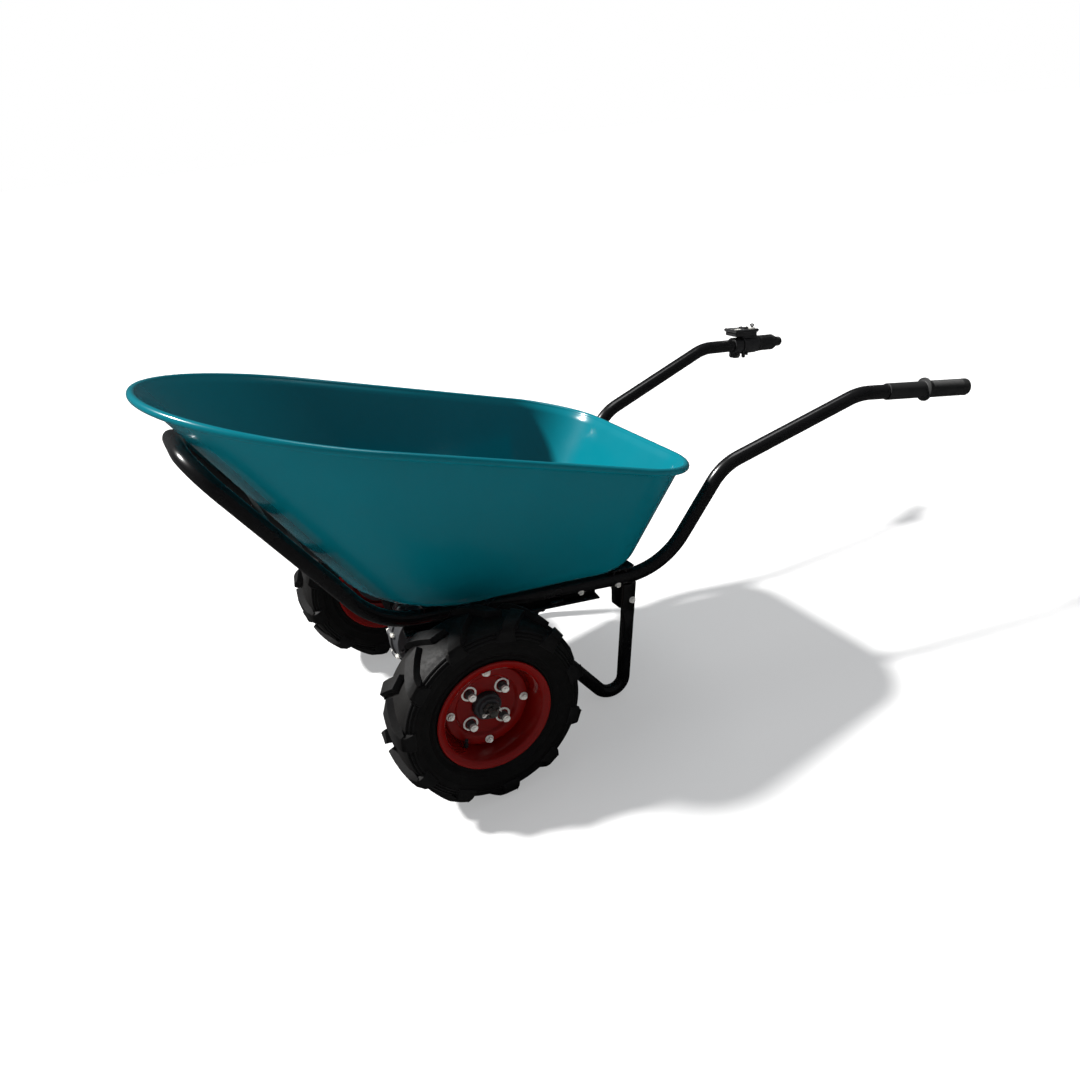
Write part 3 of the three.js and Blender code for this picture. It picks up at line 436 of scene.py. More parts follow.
def make_materials():
    # the last colour given to a material is a painted highlight on its convex edges
    paint("tray_paint", (0.0, 0.131, 0.167), (0.0, 0.124, 0.158), 0.2, coat=0.2, peel=0.00002)
    paint("frame_paint", (0.003, 0.003, 0.0033), (0.0045, 0.0045, 0.0048), 0.26, coat=0.4, peel=0.00003,
          edge_highlight=(0.012, 0.012, 0.0125))
    paint("rim_paint", (0.165, 0.0022, 0.0014), (0.140, 0.0018, 0.0012), 0.2, coat=0.4, peel=0.00002,
          edge_highlight=(0.18, 0.004, 0.003))
    moulded("tyre", (0.0040, 0.0037, 0.0035), (0.0062, 0.0058, 0.0055), 0.62,
            layers=[(240, 0.0003), (1500, 0.00012)], specular=0.20, edge_highlight=(0.014, 0.0145, 0.016))
    metal("zinc", (0.88, 0.86, 0.81), (0.76, 0.74, 0.68), 0.24, metallic=0.22)
    metal("oily_zinc", (0.16, 0.155, 0.14), (0.05, 0.05, 0.047), 0.3, metallic=0.7)
    metal("steel", (0.50, 0.50, 0.51), (0.38, 0.38, 0.39), 0.34, metallic=0.6, grain=(1, 0.06, 1))
    moulded("casting", (0.030, 0.031, 0.034), (0.022, 0.023, 0.025), 0.5,
            layers=[(500, 0.0004), (1800, 0.00015)], edge_highlight=(0.06, 0.06, 0.062))
    moulded("rubber", (0.010, 0.010, 0.0105), (0.015, 0.015, 0.015), 0.58, layers=[(1800, 0.00012)],
            specular=0.4)
    moulded("plastic", (0.013, 0.013, 0.014), (0.018, 0.018, 0.019), 0.42, layers=[(2200, 0.00008)])
    paint("lens", (0.015, 0.022, 0.026), (0.012, 0.018, 0.022), 0.08, coat=1.0, peel=0.00001)


make_materials()


def into_scene(name, data):
    made = bpy.data.objects.new(name, data)
    bpy.context.scene.collection.objects.link(made)
    return made


def add(name, shape, place=LEVEL, slot="frame_paint", body="frame", stands_for=(), smooth=34, look=None):
    """Turns a shape into a finished piece that rides on a body."""
    bm = shape.bm
    bmesh.ops.transform(bm, matrix=place, verts=bm.verts)
    if place.determinant() < 0:
        bmesh.ops.reverse_faces(bm, faces=bm.faces)
    mesh = bpy.data.meshes.new(name)
    bm.to_mesh(mesh)
    bm.free()
    mesh.polygons.foreach_set("use_smooth", [True] * len(mesh.polygons))
    mesh.set_sharp_from_angle(angle=math.radians(smooth))
    mesh.materials.append(MATERIALS[look or slot])
    piece = into_scene(name, mesh)
    piece.modifiers.new("even_normals", "WEIGHTED_NORMAL").keep_sharp = True
    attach(piece, body)
    if stands_for:
        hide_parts(*stands_for)


# ---------------------------------------------------------------- camera and stage
CAMERA = dict(lens=28.72, sensor_width=36, shift_x=-0.0714, shift_y=0.0639)
CAMERA_AT = (-503.97, -1648.79, 1143.47)      # level-frame millimetres, solved from the photo
CAMERA_RIGHT = Vector((0.85315, -0.52166, -0.00311))
CAMERA_DOWN = Vector((-0.24704, -0.39875, -0.88316))
CAMERA_FORWARD = Vector((0.45947, 0.75423, -0.46907))
SUN_AIM = (0.53, -0.4, -0.75)
SUN_POWER = 8.4
SUN_WIDTH = math.radians(5.5)
SUN_COLOUR = (1.0, 0.99, 0.975)
TOP_LIGHT = dict(energy=20, shape="RECTANGLE", size=1.4, size_y=1.4)
TOP_LIGHT_AT = Vector((0.6, 0.5, 3.4))
TOP_LIGHT_AIM = Vector((0, 0, 0.4))
ROOM_LIGHT = 0.30
ROOM_REFLECTION = 0.065
FLOOR_TONES = ((0.49, 0.49, 0.49), (0.478, 0.478, 0.478))
FLOOR_REFLECTION = (0.02, 0.02, 0.02)    # the floor as polished surfaces see it
SHADOW_LIFT = 0.34


def build_camera():
    """The camera stands ahead of the nose on the operator's left."""
    data = bpy.data.cameras.new("camera")
    for key, value in CAMERA.items():
        setattr(data, key, value)
    camera = into_scene("camera", data)
    turn = Matrix((CAMERA_RIGHT, -CAMERA_DOWN, -CAMERA_FORWARD)).transposed().to_4x4()
    place = LEVEL @ move(*CAMERA_AT) @ turn
    location, rotation, _ = place.decompose()
    camera.matrix_world = Matrix.LocRotScale(location, rotation, (1, 1, 1))
    bpy.context.scene.camera = camera


def light(name, kind, aim, place=(0, 0, 0), **settings):
    """A light that shines along a direction."""
    data = bpy.data.lights.new(name, kind)
    for key, value in settings.items():
        setattr(data, key, value)
    lamp = into_scene(name, data)
    lamp.location = place
    lamp.rotation_euler = Vector(aim).to_track_quat("-Z", "Y").to_euler()


def light_the_world(tree):
    """Dim even light on the object, and a white backdrop behind it."""
    path = node(tree, "ShaderNodeLightPath").outputs
    strength = spread(tree, path["Is Glossy Ray"], ROOM_LIGHT, ROOM_REFLECTION, 0, 1)
    room = feed(tree.nodes["Background"], Color=(0.92, 0.95, 1.0, 1), Strength=strength)
    white = node(tree, "ShaderNodeBackground", Color=(1, 1, 1, 1))
    mix = node(tree, "ShaderNodeMixShader")
    for socket, source in zip(mix.inputs, (path["Is Camera Ray"], room.outputs[0], white.outputs[0])):
        tree.links.new(source, socket)
    feed(tree.nodes["World Output"], Surface=mix.outputs[0])


def build_floor():
    """Pale paper that is dark to reflections, with its shadow lifted for the camera."""
    shape = Shape()
    shape.box((-40, -40, -0.02), (40, 40, 0), rounding=0)
    mesh = bpy.data.meshes.new("floor")
    shape.bm.to_mesh(mesh)
    shape.bm.free()
    tree, bsdf = shader("floor_paper")
    path = node(tree, "ShaderNodeLightPath").outputs
    paper = blend_colour(tree, spread(tree, noise(tree, 3, 2), 0, 1), *FLOOR_TONES)
    feed(bsdf, Base_Color=blend_colour(tree, path["Is Glossy Ray"], paper, FLOOR_REFLECTION),
         Emission_Strength=spread(tree, path["Is Camera Ray"], 0, SHADOW_LIFT, 0, 1),
         Emission_Color=(1, 1, 1, 1), Roughness=0.9, Specular_IOR_Level=0.1)
    mesh.materials.append(MATERIALS["floor_paper"])
    ground = into_scene("floor", mesh)


def build_stage():
    world = bpy.data.worlds.new("studio")
    bpy.context.scene.world = world
    world.use_nodes = True
    light_the_world(world.node_tree)
    light("key_light", "SUN", SUN_AIM, energy=SUN_POWER, angle=SUN_WIDTH, color=SUN_COLOUR)
    light("top_light", "AREA", TOP_LIGHT_AIM - TOP_LIGHT_AT, TOP_LIGHT_AT, **TOP_LIGHT)
    build_floor()
    bpy.context.scene.view_settings.view_transform = "Standard"


build_camera()
build_stage()


# ---------------------------------------------------------------- tray
def half_outline(nose, start, half_start, turn_x, half_turn, corner, back):
    """Elliptical nose, straight side, round rear corner, straight back."""
    points = []
    nose_steps, side_steps, corner_steps, back_steps = 28, 12, 16, 8
    for i in range(nose_steps):
        angle = math.pi / 2 * i / nose_steps
        points.append((start - (start - nose) * math.cos(angle), half_start * math.sin(angle)))
    for i in range(side_steps):
        t = i / side_steps
        points.append((start + (turn_x - start) * t, half_start + (half_turn - half_start) * t))
    centre = (back - corner, half_turn - corner)
    for i in range(corner_steps + 1):
        angle = math.pi / 2 * (1 - i / corner_steps)
        points.append(polar(corner, angle, centre))
    for i in range(1, back_steps + 1):
        points.append((back, centre[1] * (1 - i / back_steps)))
    return points


def full_outline(settings):
    half = half_outline(**settings)
    near = [(x, -y) for x, y in half]
    far = half[1:-1][::-1]
    return near + far


def curve(start, pull, end, steps):
    """Points from start to end on a curve that bends towards pull."""
    shares = [k / steps for k in range(steps + 1)]
    return [start * (1 - t) ** 2 + pull * 2 * t * (1 - t) + end * t * t for t in shares]


def tray_section(foot_point, rim_point):
    """The middle of the sheet from the floor's fillet up the wall and out to the rim."""
    foot = Vector((*foot_point, FLOOR_Z + SHEET / 2))
    top = Vector((*rim_point, RIM_Z + RIM_SLOPE * rim_point[0]))
    inward = Vector((FLOOR_MIDDLE - foot.x, -foot.y, 0)).normalized()
    wall_top = top + inward * RIM_LIP - Vector((0, 0, RIM_LIP))
    up = (wall_top - foot).normalized()
    start = foot + inward * FLOOR_FILLET
    end = foot + up * FLOOR_FILLET
    wall = [end.lerp(wall_top, k / 12) for k in range(1, 12)]
    lip = curve(wall_top - up * RIM_LIP * 0.7, wall_top, wall_top.lerp(top, 0.6), 4)
    return curve(start, foot, end, 9) + wall + lip + [top]


def tray_rings():
    """For each place round the tray: the outside of the wall, the rolled bead, then the inside."""
    foot = full_outline(TRAY_FOOT)
    rim = full_outline(TRAY_RIM)
    sections = [tray_section(low, high) for low, high in zip(foot, rim)]
    count = len(sections)
    rings = []
    for i, section in enumerate(sections):
        before, after = sections[i - 1], sections[(i + 1) % count]
        normals = []
        for k in range(len(section)):
            along = after[k] - before[k]
            upward = section[min(k + 1, len(section) - 1)] - section[max(k - 1, 0)]
            normals.append(along.cross(upward).normalized() if k else Vector((0, 0, -1)))
        outside = [p + n * SHEET / 2 for p, n in zip(section, normals)]
        inside = [p - n * SHEET / 2 for p, n in zip(section, normals)]
        out = Vector((normals[-1].x, normals[-1].y, 0)).normalized()
        centre = section[-1] + out * BEAD_R
        bead = []
        for degrees in range(-150, 166, 15):
            angle = math.radians(degrees)
            bead.append(centre + out * BEAD_R * math.cos(angle) + Vector((0, 0, BEAD_R * math.sin(angle))))
        rings.append(outside[:-1] + bead + inside[::-1])
    return rings


def build_tray():
    """The wall and its bead, closed by a floor inside and one outside."""
    shape = Shape()
    faces, verts = shape.bm.faces, shape.bm.verts
    rows = shape.join(tray_rings(), loop=True, closed=False)
    for k, z in ((0, FLOOR_Z), (-1, FLOOR_Z + SHEET)):
        centre = Vector((FLOOR_MIDDLE, 0, z))
        fillet = edge = [row[k] for row in rows]
        for share in (0.66, 0.33):
            step = [verts.new(centre.lerp(vert.co, share)) for vert in fillet]
            for i in range(len(edge)):
                faces.new((edge[i - 1], edge[i], step[i], step[i - 1]))
            edge = step
        middle = verts.new(centre)
        for i in range(len(edge)):
            faces.new((edge[i - 1], edge[i], middle))
    bmesh.ops.recalc_face_normals(shape.bm, faces=faces)
    add("tray_shell", shape, slot="tray_paint", stands_for=["tray"], smooth=60)


build_tray()


# ---------------------------------------------------------------- frame
def weld(shape, start, end, radius, at=Matrix()):
    """A rippled bead between two points."""
    start, end = Vector(start), Vector(end)
    count = max(6, int((end - start).length / 1.1))
    path = [start.lerp(end, i / count) for i in range(count + 1)]

    def ripple(i):
        fat = radius * (1.12 if i % 2 else 0.92) * (0.5 if i in (0, count) else 1)
        return fat, fat

    shape.tube(path, radius, 10, at, scale=ripple)


def weld_ring(shape, centre, axis, radius, bead):
    """A rippled bead around a tube."""
    turn = facing(axis, centre)
    rings = []
    for i, angle in enumerate(turns(72)):
        fat = bead * (1.12 if i % 2 else 0.9)
        rings.append([turn @ Vector((*polar(radius + fat * math.cos(a), angle), fat * math.sin(a)))
                      for a in turns(8)])
    shape.loft(rings, loop=True)


def build_front_loop():
    corners = [on_side(-1, TUBE_JOINT_X - 0.3, RAIL_Z), on_side(-1, *FRONT_BEND), on_side(-1, *NOSE)]
    corners += [Vector((c.x, -c.y, c.z)) for c in corners[::-1]]
    shape = Shape()
    shape.tube(rounded(corners, LOOP_RADII), TUBE_R, wall=TUBE_WALL)
    add("front_tube", shape, stands_for=["front_loop_tube"], smooth=50)


def build_handle_tube(label, side):
    """One bent tube from its joint with the loop to the grip."""
    bends = ((TUBE_JOINT_X, RAIL_Z), REAR_BEND, RISE_TOP, GRIP_BEND, TUBE_TIP)
    corners = [on_side(side, x, z) for x, z in bends]
    if side > 0:
        corners[-1] += (corners[-2] - corners[-1]).normalized() * RIGHT_TUBE_CUT
    path = rounded(corners, HANDLE_RADII)
    shape = Shape()
    shape.tube(path, TUBE_R, wall=TUBE_WALL)
    along = (corners[1] - corners[0]).normalized()
    weld_ring(shape, corners[0], along, TUBE_R, 1.2)
    add(f"{label}_rail_tube", shape, stands_for=[f"{label}_handle_tube"], smooth=50)


def strap_frame(share):
    x = FRONT_BEND[0] + (NOSE[0] - FRONT_BEND[0]) * share
    z = FRONT_BEND[1] + (NOSE[1] - FRONT_BEND[1]) * share
    slope = math.atan2(NOSE[1] - FRONT_BEND[1], FRONT_BEND[0] - NOSE[0])
    return x, move(x, 0, z) @ Matrix.Rotation(slope, 4, "Y")


def build_nose_strap(name, share, lift):
    """A flat bar under the tray's nose, welded to the loop at both ends."""
    half, thick = 14, 4
    x, place = strap_frame(share)
    reach = side_y(x - half) - TUBE_R - 0.3
    shape = Shape()
    shape.box((-half, -reach, lift), (half, reach, lift + thick), place, 0.8)
    for side in (-1, 1):
        weld(shape, (1 - half, side * (reach - 1), lift), (half - 1, side * (reach + 1.6), lift), 2.0, place)
    add(f"{name}_bar", shape, stands_for=[name])


def cross_member(x):
    """A channel, open downwards, across both rails under the tray's floor."""
    half, wall, end, low, high = MEMBER.values()
    reach = side_y(x) + end
    outline = [(x - half, low), (x - half, high), (x + half, high), (x + half, low), (x + half - wall, low),
               (x + half - wall, high - wall), (x - half + wall, high - wall), (x - half + wall, low)]
    shape = Shape()
    shape.prism(outline, -reach, reach, rounding=0.9)
    return shape, reach


def build_front_member():
    shape, _ = cross_member(FRONT_MEMBER_X)
    add("front_channel", shape, stands_for=["front_cross_member"])


def build_rear_member():
    """The rear channel has a tab at each end that leans back beside the tray's corner."""
    shape, reach = cross_member(REAR_MEMBER_X)
    rear, top = REAR_MEMBER_X + MEMBER["half"], MEMBER["high"]
    tip = rear + TAB["reach"]
    outline = [(rear - 3, top - 5), (rear - 1, top - 7), (tip - 4, top + 1), (tip - 6.5, top + 4)]
    shape.prism(outline, -reach, TAB["width"] - reach, rounding=0.6)
    shape.prism(outline, reach - TAB["width"], reach, rounding=0.6)
    add("rear_channel", shape, stands_for=["rear_cross_member"])


def side_frame(side):
    """Along a side tube: +X backwards, +Y outboard, at the tube's centre line above x = 0."""
    turn = Matrix.Rotation(side * math.atan(SPLAY), 4, "Z")
    return move(0, side * SIDE_Y, 0) @ turn @ Matrix.Diagonal((1, side, 1, 1))


STRETCH = math.hypot(1, SPLAY)


def build_axle_rail(label, side):
    """An angle bar under the rail, stitched to it with short welds."""
    front, rear, top, height, half, sheet = AXLE_RAIL.values()
    low = top - height
    section = [(-half, low), (half, low), (half, low + sheet), (sheet - half, low + sheet),
               (sheet - half, top), (-half, top)]
    place = side_frame(side)
    shape = Shape()
    shape.loft([[(x * STRETCH, y, z) for y, z in section] for x in (front, rear)], at=place, rounding=0.9)
    for x in RAIL_STITCHES:
        weld(shape, (x, 1 - half, top - 0.5), (x + STITCH, 1 - half, top - 0.5), 2.2, place)
    add(f"{label}_angle_bar", shape, stands_for=[f"{label}_axle_rail"])


def leg_path(side):
    """Rear run down to the foot's bend, then forwards and up to the angle bar."""
    brace = (FOOT[0] - FOOT_BEND * math.sin(BRACE_ANGLE), FOOT[1] - FOOT_BEND * math.cos(BRACE_ANGLE))
    lean = (LEG_TOP[0] - LEG_LEAN[0]) / (LEG_TOP[1] - LEG_LEAN[1])
    fall = math.tan(BRACE_ANGLE)
    corner_x = (LEG_LEAN[0] - lean * (LEG_LEAN[1] - brace[1] - fall * brace[0])) / (1 + lean * fall)
    corner_z = brace[1] - fall * (corner_x - brace[0])
    top_x = brace[0] - (BRACE_Z - brace[1]) / fall
    corners = [on_side(side, *LEG_TOP), on_side(side, 393, 240), on_side(side, corner_x, corner_z),
               on_side(side, top_x, BRACE_Z), on_side(side, top_x - 40, BRACE_Z)]
    return rounded(corners, [500, FOOT_BEND, 40])


def dense(path, step):
    """The same path with points no further apart than a step."""
    points = []
    for a, b in zip(path, path[1:]):
        parts = max(1, math.ceil((b - a).length / step))
        points += [a.lerp(b, k / parts) for k in range(parts)]
    return points + [path[-1]]


def build_leg(label, side):
    """A bent tube that is pressed flat where it is bolted and where it is welded."""
    path = dense(leg_path(side), 9)
    last = len(path) - 1

    def section(i):
        z = path[i].z
        flat_top = min(1, max(0, (z - 215) / 30)) if i < last / 2 else 0
        flat_end = min(1, max(0, (i - last + 8) / 6))
        flat = max(flat_top, flat_end)
        return LEG_R + 2.5 * flat, LEG_R - 6.5 * flat

    shape = Shape()
    shape.tube(path, LEG_R, scale=section)
    add(f"{label}_leg_tube", shape, stands_for=[f"{label}_leg"], smooth=50)


def build_leg_bracket(label, side):
    outline = [(352, 344), (412, 344), (412, 244), (382, 244), (364, 262), (364, 316), (352, 326)]
    shape = Shape()
    shape.prism([(x * STRETCH, z) for x, z in outline], -TUBE_R - 5.3, -TUBE_R - 0.3, side_frame(side), 0.9)
    add(f"{label}_leg_plate", shape, stands_for=[f"{label}_leg_bracket"])


for name, share, lift in (("upper_nose_strap", 0.62, 5), ("lower_nose_strap", 0.36, -3)):
    build_nose_strap(name, share, lift)
build_front_loop()
build_front_member()
build_rear_member()
for label, side in SIDES:
    build_handle_tube(label, side)
    build_axle_rail(label, side)
    build_leg(label, side)
    build_leg_bracket(label, side)


def build_frame_bolts(label, side):
    """Zinc bolts through the rail and the leg, and the tray's bolts into its cross members."""
    shape = Shape()
    place = side_frame(side)
    for x, z in ((280, RAIL_Z - 10), (365, RAIL_Z - 9)):
        lean = math.asin((z - RAIL_Z) / TUBE_R)
        at = facing((0, math.cos(lean), math.sin(lean)), (x * STRETCH, TUBE_R * math.cos(lean) - 0.8, z))
        shape.bolt(place @ at, across=8.5, height=4.5, washer=6.8)
    shape.bolt(place @ facing((0, 1, 0), (401 * STRETCH, 8.2, 273)), across=10, height=5, washer=7.6, tip=2)
    for x, z in ((372, 300), (396, 322)):
        shape.bolt(place @ facing((0, -1, 0), (x * STRETCH, -TUBE_R - 5.4, z)), tip=2)
    for x, y in ((FRONT_MEMBER_X, 110), (REAR_MEMBER_X, 130)):
        shape.bolt(move(x, side * y, FLOOR_Z + SHEET), height=4, washer=11)
    add(f"{label}_frame_bolts", shape, slot="zinc", smooth=40)


for label, side in SIDES:
    build_frame_bolts(label, side)


# ---------------------------------------------------------------- wheels
def tyre_profile():
    """The carcass as [radius, offset]: bead, sidewall rings and crown, their mirror, then the inside."""
    half = [(104, 34), (103.2, 43.6), (112, 44.8), (117.5, 45.6), (119, 47.6), (122, 48.4), (124, 47.8),
            (127, 50), (131, 52), (133, 53.6), (135, 53.4), (137, 53.2), (143, 54.8), (149, 56),
            (151, 57.2), (153, 57), (160, 56.6), (163, 56), (164, 57.2), (166, 56.8), (167, 55),
            (169.5, 54), (170.6, 55.2), (172.4, 54.4), (173, 52.2), (175.4, 50.8), (176.8, 51.8),
            (178.4, 50.4), (178.6, 48.2), (181, 45), (184.5, 36), (186.5, 20), (187, 0)]
    mirrored = [(r, -w) for r, w in half[-2::-1]]
    inner = [(156, -49), (182, -36), (183, 0), (182, 36), (156, 49)]
    return half + mirrored + inner


def lug_envelope(reach):
    """Radius and offset of a lug's face at a distance from the centre plane along the tread."""
    points = [(-6, 200), (16, 200), (44, 196.5), (56.5, 187), (60, 178), (60, 168), (58.5, 160)]
    low, high = points[int(reach)], points[min(int(reach) + 1, len(points) - 1)]
    t = reach - int(reach)
    return low[0] + (high[0] - low[0]) * t, low[1] + (high[1] - low[1]) * t


def build_lug(shape, angle, hand):
    """One bar of the tread: from past the centre plane back to the shoulder and down the sidewall."""
    sweep = math.radians(15)
    steps = 14
    tops, bases = [], []
    for i in range(steps + 1):
        reach = 6 * i / steps
        w, r = lug_envelope(reach)
        share = min(1, (w + 6) / 66)
        lean = angle + sweep * (share - 0.5)
        past = max(0, reach - 3) / 3
        half = 15.5 - 2.5 * min(1, reach / 3) + 6.0 * past
        root_w = min(w, 54 + 2.0 * (1 - past))
        root_r = min(r, 183) - 2 * (1 - past)
        if reach > 3:
            root_r, root_w = r, 52
        tops.append((r, w, lean, half))
        bases.append((root_r, root_w, lean, half + 4))

    def point(entry, sign):
        r, w, lean, half = entry
        a = lean + sign * half / max(r, 150)
        return Vector((r * math.cos(a), hand * w, r * math.sin(a)))

    rings = [[point(b, -1), point(t, -1), point(t, 1), point(b, 1)] for t, b in zip(tops, bases)]
    shape.loft(rings, rounding=1.6)


def build_tyre(label, side):
    shape = Shape()
    shape.turn(tyre_profile(), 160)
    pitch = 2 * math.pi / LUGS
    for i in range(LUGS):
        build_lug(shape, FIRST_LUG + i * pitch, 1)
        build_lug(shape, FIRST_LUG + (i + 0.5) * pitch, -1)
    add(f"{label}_tyre_carcass", shape, wheel_frame(side), "tyre", f"{label}_wheel", [f"{label}_tyre"], 32)


RIM_FLANGE = [(95.5, 4), (98.6, 28), (102.3, 43.4), (106, 45.6), (113.6, 46.2), (116, 48), (116.5, 50.6),
              (115.2, 52.6), (113, 52.9), (108, 51.4), (103, 49.6), (99.5, 46.6), (95, 30)]


def build_rims(label, side):
    """Two pressed halves with the same flange: the outer one is dished, the inner one is a ring."""
    outer = Shape()
    outer.turn([(29, 0.5), (60, 0.5), (63, 2), (66, 7), (68, 8.3), (81, 8.3), (84, 7), (87, 2), (92, 0.6)]
               + RIM_FLANGE + [(91.6, 6.5), (89.4, 4), (88, 4.4), (86, 9.4), (83, 11.4), (68, 11.4), (65, 10),
                               (62, 4.6), (59.6, 3.5), (30, 3.5), (29, 2.8)], 128)
    inner = Shape()
    inner.turn([(70, 0.2), (94, 0.2)] + [(r, -w) for r, w in RIM_FLANGE]
               + [(91, -6), (89, -2.8), (70, -2.8)], 128)
    for name, shape, node_name in (("dish", outer, "outer"), ("back", inner, "inner")):
        add(f"{label}_rim_{name}", shape, wheel_frame(side), "rim_paint", f"{label}_wheel",
            [f"{label}_rim_{node_name}"], 40)


def around(radius, degrees, w):
    """A place on a wheel's face, looking outboard."""
    x, z = polar(radius, math.radians(degrees))
    return facing((0, 1, 0), (x, w, z))


def build_hub(label, side):
    """The cast hub with its four studs, and the bolts that hold the rim halves together."""
    body, place = f"{label}_wheel", wheel_frame(side)
    shape = Shape()
    shape.turn([(9.6, -57), (21, -57), (22, -56), (26, -30), (26, -10), (59, -9.8), (60, -9), (60, 0),
                (59, 0.2), (28, 0.2), (28, 14), (27, 15.6), (22.6, 17), (21.6, 20), (20.5, 22.6), (18, 23.4),
                (13, 23.6), (12.5, 22.5), (9.6, 22.5)], 72)
    add(f"{label}_hub_body", shape, place, "casting", body, [f"{label}_hub"], 36)
    sleeves, nuts = Shape(), Shape()
    for i in range(4):
        at = around(STUD_CIRCLE, 38 + 90 * i, 3.5)
        nuts.turn([(11.6, 0), (15, 0), (15.4, 0.4), (15.4, 1.4), (14.6, 2), (12.4, 2.2), (11.6, 1.6)], 40,
                  at @ UPRIGHT)
        sleeves.rod(8.6, 0, 13.5, at, 32, 0.8)
        nuts.hexagon(14, 6.6, at @ move(0, 0, 13.5), 0.3 * i)
        nuts.rod(4.0, 16, 22.4, at, 16, 0.7)
        nuts.bolt(around(SPLIT_CIRCLE, 83 + 90 * i, 11.4), across=11, height=5.5, washer=8.6, tip=2.6)
    add(f"{label}_stud_sleeves", sleeves, place, "casting", body, smooth=40)
    add(f"{label}_wheel_nuts", nuts, place, "zinc", body, smooth=40)


def build_castle_nut(label, side):
    """Slotted nut on the half shaft, with its split pin."""
    at = facing((0, 1, 0), (0, 24.3, 0))
    angles = [math.radians(a) for a in (-21, -10, 0, 10, 21)]
    arc = [polar(12.4, a) for a in angles] + [polar(10, -a) for a in angles]
    shape = Shape()
    shape.hexagon(30, 9, at)
    for i in range(6):
        turn = at @ Matrix.Rotation(math.radians(60 * i), 4, "Z")
        shape.loft([[(x, y, z) for x, y in arc] for z in (8, 14.6)], at=turn, rounding=0.6)
    add(f"{label}_castle_nut", shape, wheel_frame(side), "zinc", f"{label}_wheel", [f"{label}_axle_nut"], 36,
        "oily_zinc")
    pin, w = Shape(), 36.6
    pin.tube([Vector((x, w, 0)) for x in (-15, 0, 13)], 1.5, 12)
    for z, tip in ((0.9, (15, 31, 3)), (-0.9, (15, 40, -4))):
        pin.tube(rounded([(13, w, z), (17, w, z), tip], [2]), 1.1, 10)
    pin.turn([(1.6, -1.3), (4.2, -1.3), (4.6, 0), (4.2, 1.3), (1.6, 1.3), (1.2, 0)], 24,
             move(-18, w, 0) @ UPRIGHT @ Matrix.Rotation(0.4, 4, "Z"))
    add(f"{label}_split_pin", pin, wheel_frame(side), "zinc", f"{label}_wheel", smooth=50)


def build_valve(label, side):
    """A rubber stem that leans out of the rim's dish, with a knurled cap."""
    x, z = polar(VALVE_REACH, VALVE_ANGLE)
    at = move(x, 24, z) @ Matrix.Rotation(math.radians(62), 4, "X")
    shape = Shape()
    shape.turn([(0, -13), (5, -13), (5.3, -10), (4.4, -4), (3.4, 2), (3.2, 4), (3.5, 4.2), (3.5, 12.4),
                (3.0, 13), (0, 13)], 28, at)
    for angle in turns(14):
        shape.box((3.2, 4.8, -0.3), (3.8, 12, 0.3), at @ Matrix.Rotation(angle, 4, "Y"), 0.1)
    add(f"{label}_valve_stem", shape, wheel_frame(side), "rubber", f"{label}_wheel", [f"{label}_valve"], 40)


for label, side in SIDES:
    build_tyre(label, side)
    build_rims(label, side)
    build_hub(label, side)
    build_castle_nut(label, side)
    build_valve(label, side)


# ---------------------------------------------------------------- axle and drive
def mirror(side):
    """The level frame on one side, with +Y outboard."""
    return Matrix.Diagonal((1, side, 1, 1))


def axle_level(side):
    return LEVEL @ mirror(side) @ move(0, 0, WHEEL_R)


def build_hanger(label, side):
    """The plate that hangs the axle tube under the angle bar, with its welds."""
    top = AXLE_RAIL["top"] - AXLE_RAIL["height"] - 0.3 - WHEEL_R
    outline = [(-70, top), (70, top), (66, top - 12), (34, -16), (27, -28), (16, -35), (-16, -35), (-27, -28),
               (-34, -16), (-66, top - 12)]
    shape = Shape()
    shape.prism(outline, HANGER_Y - 3, HANGER_Y + 3, rounding=0.8)
    for hand in (-1, 1):
        weld(shape, (-66, HANGER_Y + hand * 3.4, top - 1.6), (66, HANGER_Y + hand * 3.4, top - 1.6), 1.8)
        weld_ring(shape, (0, HANGER_Y + hand * 3, 0), (0, 1, 0), AXLE_TUBE["outer"] + 1, 2.2)
    add(f"{label}_hanger_plate", shape, axle_level(side), stands_for=[f"{label}_axle_hanger"])


